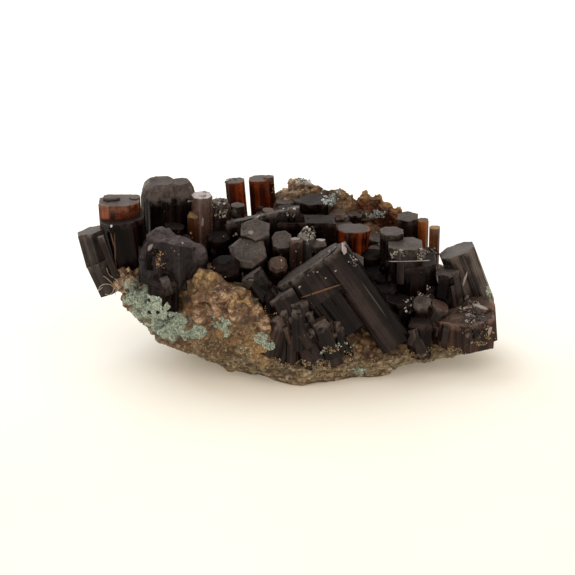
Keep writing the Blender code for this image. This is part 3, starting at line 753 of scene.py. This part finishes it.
# Patches on the matrix: across, up the front view, back, radius
PATCHES = {
    "teal": (
        (-11.6, -1.4, -3.6, 2.1), (-10.2, -2.8, -4.4, 1.7), (-12.5, -1.2, -3.0, 0.8), (-9.3, -3.0, -4.8, 1.2),
        (-7.3, -3.5, -5.2, 0.6), (-5.3, -3.3, -5.8, 0.45), (-1.8, -4.3, -6.0, 0.4), (5.8, -6.9, -5.6, 0.5),
    ),
    "ice": ((3.5, 7.4, 9.2, 0.95), (-6.4, 7.7, 8.0, 1.2), (8.2, 6.0, 6.8, 0.9), (1.5, 8.7, 9.2, 0.7)),
    "rust": (
        (-6.4, -2.3, -5.6, 1.7), (-4.2, -1.2, -5.9, 1.5), (-13.0, 0.3, -2.0, 1.7), (-1.6, -2.0, -6.2, 1.2),
        (4.5, 7.2, 8.8, 1.2), (0.2, 8.4, 9.0, 0.9), (16.2, -3.2, -1.2, 1.2),
    ),
    "tan": (
        (-5.6, -4.1, -6.0, 0.9), (-3.8, -1.0, -6.0, 0.9), (-6.9, 1.2, -4.6, 1.1), (-2.6, -5.2, -6.3, 1.5),
        (-1.2, -2.2, -6.7, 0.7), (3.2, -5.4, -6.4, 1.3),
    ),
}

# Sets two noises of the rock apart
OFFSET = Vector((5.3, 2.1, 7.7))


def patch_share(place, patches):
    """1 in the middle of a patch, 0 outside all of them, with an uneven edge."""
    share = 0.0
    wobble = 0.35 * noise.noise(place * 1.4) + 0.2 * noise.noise(place * 4.0)
    for across, up, back, radius in patches:
        middle = Vector((across, back, height_of(up, back))) + CENTRE
        away = (place - middle).length / radius + wobble
        share = max(share, clamped((1.25 - away) / 0.5))
    return share


def rock_material():
    """Lumpy brown rock with teal and pale blue crusts, rusty and tan patches, thin layers low down, and
    painted shade in the cracks between lumps.
    """
    nodes = Nodes(ROCK)
    mix, times, tone = nodes.mix, nodes.times, nodes.tone
    teal, ice, rust, tan, layers, crevice_shade = (nodes.measure(name) for name in (*PATCHES, "layers", "crevice_shade"))
    place = nodes.place()
    broad = nodes.noise(place, 0.9, 5.0, 0.6)
    middle = nodes.noise(place, 2.4, 4.0, 0.65)
    other = nodes.noise(nodes.scaled(place, (-1.0, -1.0, -1.0)), 1.9, 4.0, 0.6)
    fine = nodes.noise(place, 8.0, 3.0, 0.7)
    bands = nodes.noise(nodes.scaled(place, (0.5, 0.6, 4.0)), 1.0, 4.0, 0.65)
    waxy = nodes.noise(nodes.scaled(place, (0.8, 0.8, 1.5)), 1.5, 4.0, 0.55)
    chance = nodes.cells(place, 4.0)[1]
    ground = tone(broad, 0.4, 0.6, (88, 60, 38), (132, 98, 62))
    ground = tone(other, 0.55, 0.66, ground, (112, 104, 76))
    ground = tone(middle, 0.56, 0.68, ground, (58, 36, 25))
    ground = tone(chance, 0.8, 0.9, ground, (146, 120, 84))
    layered = tone(bands, 0.42, 0.58, (92, 74, 50), (158, 138, 106))
    layered = tone(other, 0.54, 0.66, layered, (122, 116, 88))
    layered = tone(middle, 0.55, 0.66, layered, (84, 56, 42))
    layered = tone(chance, 0.78, 0.9, layered, (170, 148, 124))
    rusty = tone(waxy, 0.38, 0.6, (66, 38, 23), (170, 126, 86))
    rusty = tone(nodes.plus(waxy, fine), 1.04, 1.2, rusty, (212, 190, 162))
    tans = tone(fine, 0.4, 0.62, (128, 92, 50), (204, 172, 116))
    teals = tone(fine, 0.38, 0.62, (108, 122, 108), (178, 190, 170))
    teals = tone(broad, 0.52, 0.66, teals, (92, 102, 92))
    ices = tone(fine, 0.35, 0.62, (110, 118, 116), (206, 214, 216))
    colour = mix(layers, ground, layered)
    colour = mix(times(rust, 0.85), colour, rusty)
    colour = mix(times(tan, 0.7), colour, tans)
    colour = mix(teal, colour, teals)
    colour = mix(ice, colour, ices)
    # Painted shade: dark brown in the cracks between the lumps
    colour = mix(times(crevice_shade, 0.7), colour, (44, 28, 19))
    rough = nodes.blend(nodes.between(chance, 0.6, 1.0), 0.8, 0.42)
    height = times(nodes.plus(nodes.cells(place, 7.0)[0], fine), nodes.blend(rust, 1.0, 0.35))
    return nodes.finish({
        "Base Color": colour, "Roughness": nodes.blend(times(rust, 0.7), rough, 0.4),
        "Normal": nodes.bump(height, 0.6, 0.06),
    })


def rock_skin():
    """The matrix with grains, cracks and thin ledges, on the shape of its CAD node."""
    piece = bpy.data.objects.new("matrix_skin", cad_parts["matrix"].data.copy())
    bpy.context.scene.collection.objects.link(piece)
    add_remesh(piece, ROCK_VOXEL)
    mesh = evaluated_mesh(piece)
    measures = {name: [] for name in (*PATCHES, "layers", "crevice_shade")}
    places = []
    for vertex in mesh.vertices:
        place = vertex.co / MM
        for name, patches in PATCHES.items():
            measures[name].append(patch_share(place, patches))
        waxy = measures["rust"][-1]
        low_share = clamped((2.6 + 0.8 * noise.noise(place * 0.5) - place.z) / 0.8)
        stretched = Vector((place.x * 0.7, place.y * 0.7, place.z * 4.5))
        shifts = (place * 1.1, place * 1.3 + OFFSET, place * 1.2 - OFFSET)
        wander = Vector([noise.noise(shift) for shift in shifts])
        coarse_cell = noise.voronoi(place * 0.95 + wander * 0.8)[0]
        small_cell = noise.voronoi(place * 3.4 + wander * 1.5)[0]
        lumps = 0.3 * noise.noise(place * 0.9) + (0.5 + 0.8 * waxy) * (0.45 - coarse_cell[0])
        grit = (0.15 - 0.1 * waxy) * (0.45 - small_cell[0]) + (0.05 - 0.03 * waxy) * noise.noise(place * 9.0)
        ledges = 0.16 * math.floor(noise.noise(stretched) * 3.0) / 3.0
        crack = min(coarse_cell[1] - coarse_cell[0], 0.6 * (small_cell[1] - small_cell[0]) + 0.12)
        measures["layers"].append(low_share)
        # Share of painted shade, highest where the cracks between cells are narrowest
        measures["crevice_shade"].append(clamped((0.2 - crack) / 0.17))
        rise = (lumps * (1.0 - 0.5 * low_share) + grit + ledges * low_share - 0.16) * clamped(place.z / 0.3)
        spot = vertex.co + vertex.normal * rise * MM
        places.append([min(max(value, least), most) for value, least, most in zip(spot, *cad_box)])
    reshape(mesh, places, measures, rock_material())
    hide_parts("matrix")
    finish_piece(piece, ROCK)


# Grains that crusts are made of: corners and sides
OCTAHEDRON = (
    ((1, 0, 0), (0, 1, 0), (-1, 0, 0), (0, -1, 0), (0, 0, 1), (0, 0, -1)),
    ((0, 1, 4), (1, 2, 4), (2, 3, 4), (3, 0, 4), (1, 0, 5), (2, 1, 5), (3, 2, 5), (0, 3, 5)),
)
BLOCK = (
    ((-1, -1, -1), (1, -1, -1), (1, 1, -1), (-1, 1, -1), (-1, -1, 1), (1, -1, 1), (1, 1, 1), (-1, 1, 1)),
    ((3, 2, 1, 0), (4, 5, 6, 7), (0, 1, 5, 4), (1, 2, 6, 5), (2, 3, 7, 6), (3, 0, 4, 7)),
)


def sight_to(spot):
    """The way from the camera to a photo pixel on the upright plane through the middle of the specimen."""
    across = (spot[0] - PHOTO_MIDDLE[0]) / PIXELS_PER_MM
    up = (PHOTO_MIDDLE[1] - spot[1]) / PIXELS_PER_MM
    return ((TARGET + Vector((across, 0.0, 0.0)) + UPWARD * up) * MM - EYE).normalized()


def surface_tree():
    """All finished pieces as one surface to place small things on."""
    points, faces = [], []
    for piece in DONE:
        base = len(points)
        points.extend(vertex.co.copy() for vertex in piece.data.vertices)
        faces.extend([base + i for i in polygon.vertices] for polygon in piece.data.polygons)
    return BVHTree.FromPolygons(points, faces)


def surface_spot(tree, spot):
    """Place and normal of the surface at a photo pixel, or None beside the specimen."""
    place, normal, _, _ = tree.ray_cast(EYE, sight_to(spot))
    return None if place is None else (place, normal)


def spots_in(tree, areas, rng, patchy=0.0):
    """Surface places spread over round areas of the photo: middle, half widths and how many.

    A higher patchy share leaves more of each area bare, in uneven patches.
    """
    found = []
    for u, v, wide, high, count in areas:
        for _ in range(count):
            angle = rng.uniform(0, math.tau)
            reach = math.sqrt(rng.uniform())
            hit = surface_spot(tree, (u + wide * reach * math.cos(angle), v + high * reach * math.sin(angle)))
            if not hit:
                continue
            spot = hit[0] / MM
            if spot.z > LOWEST_GRAIN and 0.5 + noise.noise(spot * 1.7) > patchy * (0.6 + 0.6 * reach):
                found.append(hit)
    return found


def random_turn(rng):
    axis = Vector(rng.normal(size=3)).normalized()
    return Matrix.Rotation(rng.uniform(0, math.tau), 3, axis)


def grain_material(name, colours, roughness, gloss):
    """Each grain has its own shade between the colours."""
    nodes = Nodes("grains_" + name)
    dark, middle, light = colours
    skin = nodes.noise(nodes.place(), 6.0, 3.0)
    shade = nodes.plus(nodes.measure("shade"), nodes.times(nodes.plus(skin, -0.5), 0.6))
    colour = nodes.tone(shade, 0.6, 0.95, nodes.tone(shade, 0.1, 0.5, dark, middle), light)
    return nodes.finish({
        "Base Color": colour, "Roughness": nodes.blend(skin, roughness * 0.7, roughness * 1.3),
        "Specular IOR Level": gloss, "Normal": nodes.bump(skin, 0.3, 0.03),
    })


def grain_piece(name, points, faces, shades, material):
    """Many small things as one piece with flat faces."""
    piece = mesh_object(name, points, faces, {"shade": shades}, [material])
    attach(piece, BODY)


def crust(name, tree, areas, sizes, shape, material, seed, patchy=0.6):
    """Many grains joined in one piece, half sunk in what carries them."""
    rng = np.random.default_rng(seed)
    corners, sides = shape
    points, faces, shades = [], [], []
    for place, normal in spots_in(tree, areas, rng, patchy):
        size = rng.uniform(*sizes)
        turn = random_turn(rng)
        scales = size * rng.uniform(0.55, 1.25, 3)
        middle = place / MM + normal * size * 0.1
        base = len(points)
        points.extend(middle + turn @ Vector(np.array(corner) * scales) for corner in corners)
        faces.extend(tuple(base + i for i in side) for side in sides)
        shades.extend([rng.uniform()] * len(corners))
    grain_piece(name, points, faces, shades, material)


def tube_faces(base, count, rings):
    """The faces over rings of points that follow each other, with both ends shut."""
    last = base + count * (rings - 1)
    faces = [
        (start + i, start + (i + 1) % count, start + count + (i + 1) % count, start + count + i)
        for start in range(base, last, count) for i in range(count)
    ]
    faces.append(tuple(base + i for i in reversed(range(count))))
    faces.append(tuple(last + i for i in range(count)))
    return faces


def chips(name, tree, rows, material, seed):
    """Thin flakes and facets that lie on the surface, joined in one piece."""
    rng = np.random.default_rng(seed)
    points, faces, shades = [], [], []
    for u, v, half_width, half_height, roll in rows:
        hit = surface_spot(tree, (u, v))
        if not hit:
            continue
        place, normal = hit
        turn = Matrix.Rotation(math.radians(-roll), 3, normal)
        level_side = (Vector((1, 0, 0)) - normal * normal.x).normalized()
        across, upward = turn @ level_side, turn @ normal.cross(level_side)
        # A flake on a face that the view meets aslant is longer, so that it shows at its full height
        facing = max(0.35, abs(normal.dot((place - EYE).normalized())))
        wide = half_width / PIXELS_PER_MM
        high = half_height / PIXELS_PER_MM / facing
        corners = int(rng.integers(5, 8))
        uneven = rng.uniform(0.7, 1.2, corners)
        faces.extend(tube_faces(len(points), corners, 2))
        for level, flare in ((-0.06, 1.1), (0.04, 1.0)):
            for i, reach in enumerate(uneven * flare):
                angle = math.tau * i / corners + 0.5
                edge = across * (math.cos(angle) * wide * reach) + upward * (math.sin(angle) * high * reach)
                points.append(place / MM + edge + normal * level)
        shades.extend([rng.uniform(0.2, 0.8)] * (2 * corners))
    grain_piece(name, points, faces, shades, material)


def lint_thread(tree, spots):
    """The points round a bent thread that hangs just over the surface along photo pixels."""
    middle = []
    for spot in spots:
        hit = surface_spot(tree, spot)
        if hit:
            away = (hit[0] - EYE).length - LINT_LIFT * MM
        middle.append((EYE + sight_to(spot) * away) / MM)
    bent = []
    for i in range(len(middle) - 1):
        before, start = middle[max(i - 1, 0)], middle[i]
        end, after = middle[i + 1], middle[min(i + 2, len(middle) - 1)]
        for step in range(LINT_STEPS):
            share = step / LINT_STEPS
            leaving = (end - before) / 2 * share * (1 - share) ** 2
            coming = (after - start) / 2 * share ** 2 * (share - 1)
            bent.append(start.lerp(end, share * share * (3 - 2 * share)) + leaving + coming)
    points = []
    for i, spot in enumerate(bent):
        along = (bent[min(i + 1, len(bent) - 1)] - bent[max(i - 1, 0)]).normalized()
        right = along.orthogonal().normalized()
        rear = along.cross(right)
        for side in range(LINT_SIDES):
            angle = math.tau * side / LINT_SIDES
            points.append(spot + (right * math.cos(angle) + rear * math.sin(angle)) * LINT_HALF)
    return points


def lint(tree):
    """A few pale threads of dirt that cling to the left end."""
    points, faces = [], []
    for spots in LINT_THREADS:
        thread = lint_thread(tree, spots)
        faces.extend(tube_faces(len(points), LINT_SIDES, len(thread) // LINT_SIDES))
        points.extend(thread)
    material = grain_material("lint", ((170, 158, 144), (196, 184, 168), (214, 204, 190)), 0.7, 0.2)
    grain_piece("lint_threads", points, faces, [0.5] * len(points), material)


def small_crystals(name, tree, areas, halves, looks, lean, stretch, seed):
    """Small prisms that fill the gaps between the large ones, joined in one piece."""
    rng = np.random.default_rng(seed)
    palette = sorted(looks)
    points, faces, indices = [], [], []
    measures = {}
    for place, normal in spots_in(tree, areas, rng):
        half = rng.uniform(*halves)
        spot = place / MM - CENTRE - normal * half * 0.4
        if spot.z < LOWEST_CRYSTAL:
            continue
        length = min(stretch * half, 0.6 * (spot.z - LOWEST_GRAIN))
        tilt = (lean[0] + rng.normal() * 0.25, lean[1] + rng.normal() * 0.2)
        look = looks[rng.integers(len(looks))]
        crystal = Crystal(
            spot.x, up_of(spot.z, spot.y), spot.y, half, length, look, lean=tilt,
            sides=int(rng.choice((4, 6, 8))), turn=rng.uniform(0, 90), end=(FLAT, BEVELLED)[rng.integers(2)],
        )
        own_points, own_faces, own_measures = prism_arrays(crystal, rng.uniform(0, 90))
        if min(point.y for point in own_points) * MM < cad_box[0][1]:
            continue
        base = len(points)
        points.extend(own_points)
        faces.extend(tuple(base + i for i in face) for face in own_faces)
        indices.extend([palette.index(look)] * len(own_faces))
        for measure, values in own_measures.items():
            measures.setdefault(measure, []).extend(values)
    piece = mesh_object(name, points, faces, measures, [MATERIALS[look] for look in palette])
    piece.data.polygons.foreach_set("material_index", indices)
    finish_piece(piece, DARK, sharp=True)


# Small crystals and crusts, by round areas of the photo in pixels: middle, half widths, how many
# The dark gap crystals are near-black painted shade in the gaps between large crystals
DARK_FILL = (
    (386, 275, 10, 20, 16), (394, 300, 6, 12, 5), (440, 285, 12, 15, 7), (152, 247, 6, 10, 3),
    (216, 235, 7, 18, 7), (310, 215, 20, 5, 5), (372, 245, 4, 12, 6), (265, 290, 8, 8, 3),
)
FAN_FILL = ((294, 322, 18, 16, 16), (330, 325, 12, 10, 10), (300, 338, 16, 6, 8))
BROWN_FILL = ((350, 214, 18, 6, 9), (262, 212, 9, 6, 5), (225, 205, 10, 10, 6), (455, 328, 22, 9, 8))
TEAL_CRUST = (
    (138, 299, 14, 8, 1500), (152, 311, 19, 15, 3600), (172, 326, 17, 14, 2800), (186, 331, 10, 9, 700),
    (198, 332, 9, 7, 500), (218, 322, 9, 6, 300), (227, 328, 6, 9, 300), (262, 338, 7, 6, 260),
    (269, 345, 6, 6, 200), (358, 371, 10, 3, 180), (490, 291, 4, 6, 140),
    (240, 352, 16, 8, 60), (320, 352, 5, 3, 60), (345, 345, 10, 3, 60),
)
RUST_CRUST = (
    (130, 284, 13, 17, 260), (203, 300, 22, 26, 150), (232, 300, 24, 18, 110), (267, 312, 12, 13, 60),
    (345, 200, 10, 9, 240), (300, 186, 16, 9, 200), (278, 188, 7, 8, 80), (488, 326, 9, 12, 70),
    (240, 335, 26, 14, 160), (215, 272, 14, 8, 60),
    (161, 262, 5, 11, 90),
)
ICE_CRUST = (
    (331, 196, 10, 10, 1000), (308, 180, 10, 5, 260), (376, 214, 16, 4, 300), (212, 192, 12, 3, 120),
    (350, 184, 10, 5, 60),
)
# Small grains in dark to light shades; the light ones are painted glints
SPARKS = (
    (427, 294, 9, 9, 260), (399, 253, 8, 4, 220), (424, 254, 5, 6, 160), (308, 233, 8, 12, 260),
    (220, 210, 8, 12, 150), (397, 254, 6, 6, 110), (423, 254, 6, 7, 110), (433, 250, 8, 5, 110),
    (472, 312, 14, 11, 420), (130, 284, 12, 14, 90), (304, 265, 34, 20, 40), (290, 211, 10, 6, 60),
    (356, 259, 8, 7, 50), (232, 182, 6, 4, 30), (240, 236, 20, 12, 30), (175, 245, 30, 18, 60),
    (412, 305, 10, 9, 60),
)
RUBBLE = (
    (340, 352, 26, 7, 420), (393, 356, 8, 3, 60), (300, 364, 44, 6, 700), (410, 355, 16, 3, 120),
    (215, 345, 34, 12, 900), (260, 366, 30, 10, 900), (340, 374, 50, 8, 900), (440, 352, 34, 6, 420),
    (190, 352, 20, 6, 400), (370, 362, 20, 6, 300), (452, 349, 12, 3, 160), (466, 347, 9, 3, 130),
    (479, 343, 8, 3, 110), (490, 339, 6, 3, 90), (475, 332, 14, 8, 60),
)
LOWEST_GRAIN = 0.25
LOWEST_CRYSTAL = 2.6

# Chips by photo pixel: middle, half width, half height, roll in degrees
# Some of these are painted glints and highlight streaks on crystal faces; the others are pale flakes
PALE_CHIPS_AND_GLINTS = (
    (252, 233, 3.5, 2.5, 10), (151, 247, 2.2, 3.6, 20), (345, 248, 3.0, 4.0, 0), (465, 280, 1.2, 8.0, 15),
    (201, 195, 6.0, 1.0, 20), (321, 240, 5.0, 1.2, 5), (296, 239, 6.0, 1.6, 5), (227, 181, 1.2, 1.2, 30),
    (203, 222, 1.4, 5.0, 5), (257, 218, 4.0, 1.0, -30), (330, 251, 1.2, 1.0, 0), (243, 275, 1.6, 1.0, 30),
    (300, 287, 1.6, 0.9, -40), (467, 298, 2.4, 5.0, 30), (479, 306, 3.0, 5.0, -40), (470, 316, 6.0, 2.4, 20),
    (112, 226, 1.2, 1.2, 0), (190, 201, 2.0, 0.9, 0), (183, 243, 1.0, 1.0, 0), (490, 330, 2.5, 4.0, 10),
    (412, 261, 21.0, 0.35, 0), (437, 272, 0.8, 9.0, 0),
)
GREY_CHIPS = (
    (411, 308, 6.0, 4.5, -35), (397, 254, 5.5, 4.5, 0), (423, 254, 4.0, 5.0, 0), (168, 284, 3.0, 4.5, 20),
    (412, 338, 4.5, 6.5, 10), (475, 313, 8.0, 5.0, 20), (255, 300, 5.0, 1.6, -30), (248, 285, 4.0, 6.0, 35),
    (484, 318, 5.0, 5.0, -20), (462, 305, 4.0, 5.0, 0), (372, 296, 0.9, 26.0, -36),
)
BROWN_CHIPS = (
    (116, 256, 0.8, 14.0, 0), (113, 240, 0.6, 10.0, -12), (411, 354, 9.0, 1.2, 2), (370, 219, 10.0, 0.9, -5),
    (321, 291, 21.0, 1.0, -20),
)
LINT_THREADS = (
    ((103, 287), (99, 291), (101, 286), (107, 284), (113, 286), (116, 291), (116, 296)),
    ((104, 276), (108, 279), (113, 284), (114, 290), (110, 295), (105, 294)),
    ((107, 268), (110, 275), (117, 280), (120, 287), (116, 292)),
)
LINT_LIFT = 0.2
LINT_HALF = 0.022
LINT_SIDES = 5
LINT_STEPS = 6


def small_things():
    tree = surface_tree()
    small_crystals("dark_gap_crystals", tree, DARK_FILL, (0.25, 0.6), ("jet",), (0, 0), 3.2, 11)
    small_crystals("fan_gap_crystals", tree, FAN_FILL, (0.3, 0.6), ("dark", "brown"), (-0.25, 0.1), 6.0, 12)
    mixed_looks = ("brown", "grey", "dark")
    small_crystals("brown_gap_crystals", tree, BROWN_FILL, (0.2, 0.5), mixed_looks, (0, 0), 3.2, 13)
    tree = surface_tree()
    teal = grain_material("teal", ((116, 128, 116), (160, 171, 155), (200, 208, 192)), 0.6, 0.2)
    rust = grain_material("rust", ((80, 52, 34), (132, 98, 66), (186, 156, 120)), 0.5, 0.25)
    ice = grain_material("ice", ((100, 106, 102), (156, 162, 158), (210, 216, 216)), 0.5, 0.25)
    # The light shade of these grains is painted glint
    spark = grain_material("spark", ((34, 27, 25), (72, 63, 58), (190, 180, 170)), 0.35, 0.3)
    rubble = grain_material("rubble", ((84, 68, 50), (128, 108, 80), (176, 160, 134)), 0.6, 0.2)
    crust("teal_crust", tree, TEAL_CRUST, (0.04, 0.11), OCTAHEDRON, teal, 21, 0.38)
    crust("rust_crust", tree, RUST_CRUST, (0.04, 0.1), OCTAHEDRON, rust, 22)
    crust("ice_crust", tree, ICE_CRUST, (0.04, 0.1), OCTAHEDRON, ice, 23, 0.5)
    crust("spark_grains", tree, SPARKS, (0.03, 0.08), BLOCK, spark, 24, 0.5)
    crust("rubble_grains", tree, RUBBLE, (0.03, 0.09), OCTAHEDRON, rubble, 25)
    pale = grain_material("pale_chip", ((104, 92, 90), (150, 138, 136), (208, 200, 196)), 0.35, 0.4)
    grey = grain_material("grey_chip", ((44, 36, 33), (66, 57, 53), (98, 90, 85)), 0.4, 0.3)
    brown = grain_material("brown_chip", ((60, 38, 24), (90, 62, 40), (120, 92, 62)), 0.5, 0.3)
    chips("pale_chips_and_glints", tree, PALE_CHIPS_AND_GLINTS, pale, 31)
    chips("grey_chips", tree, GREY_CHIPS, grey, 32)
    chips("brown_chips", tree, BROWN_CHIPS, brown, 33)
    lint(tree)


def floor_material():
    nodes = Nodes("floor")
    place = nodes.place()
    back = nodes.add("ShaderNodeSeparateXYZ", {0: place}).outputs[1]
    # The floor is painted darker towards the front: painted shade where less light falls
    colour = nodes.tone(back, 30.0, -25.0, (245, 244, 240), (233, 229, 222))
    mottle = nodes.times(nodes.between(nodes.noise(place, 0.03, 3.0), 0.4, 0.7), 0.35)
    # The floor glows faintly with warm light of its own, which lifts the shadows: painted light
    return nodes.finish({
        "Base Color": nodes.mix(mottle, colour, (231, 223, 207)), "Roughness": 0.9,
        "Emission Color": (1.0, 0.86, 0.66), "Emission Strength": 0.16,
    })


def make_floor():
    corners = [Vector((x, y, 0.0)) * FLOOR_REACH for x, y in ((-1, -1), (1, -1), (1, 1), (-1, 1))]
    floor = mesh_object("floor", corners, [(0, 1, 2, 3)], materials=[floor_material()])


def make_light():
    """Warm light from everywhere, and a cool soft one from behind."""
    world = bpy.data.worlds.new("studio")
    bpy.context.scene.world = world
    world.use_nodes = True
    background = world.node_tree.nodes["Background"]
    background.inputs["Color"].default_value = (1.0, 0.925, 0.83, 1.0)
    background.inputs["Strength"].default_value = 0.98
    light = bpy.data.lights.new("back_softbox", "AREA")
    light.shape = "SQUARE"
    light.size = 0.30
    light.energy = 0.85
    light.color = (0.76, 0.9, 1.0)
    lamp = bpy.data.objects.new("back_softbox", light)
    lamp.location = (-0.16, 0.20, 0.30)
    lamp.rotation_euler = (-lamp.location).to_track_quat("-Z", "Y").to_euler()
    bpy.context.scene.collection.objects.link(lamp)


def make_camera():
    data = bpy.data.cameras.new("camera")
    data.sensor_width = 36.0
    data.lens = data.sensor_width * CAMERA_DISTANCE / (PHOTO_SIDE / PIXELS_PER_MM * MM)
    data.clip_start = 0.001
    camera = bpy.data.objects.new("camera", data)
    camera.location = EYE
    camera.rotation_euler = (TARGET * MM - EYE).to_track_quat("-Z", "Y").to_euler()
    bpy.context.scene.collection.objects.link(camera)
    bpy.context.scene.camera = camera


bpy.context.scene.view_settings.view_transform = "Standard"
make_camera()
make_light()
make_floor()
rock_skin()
for number, (group_name, (slot_name, crystals)) in enumerate(GROUPS.items()):
    crystal_group(group_name, slot_name, crystals, GROUP_SEED + GROUP_SEED_STEP * number)
finish_piece(joined_prisms("shaded_front_left_foot", SHADED_FRONT_LEFT_FOOT, 5.1, 1.0), DARK)
small_things()
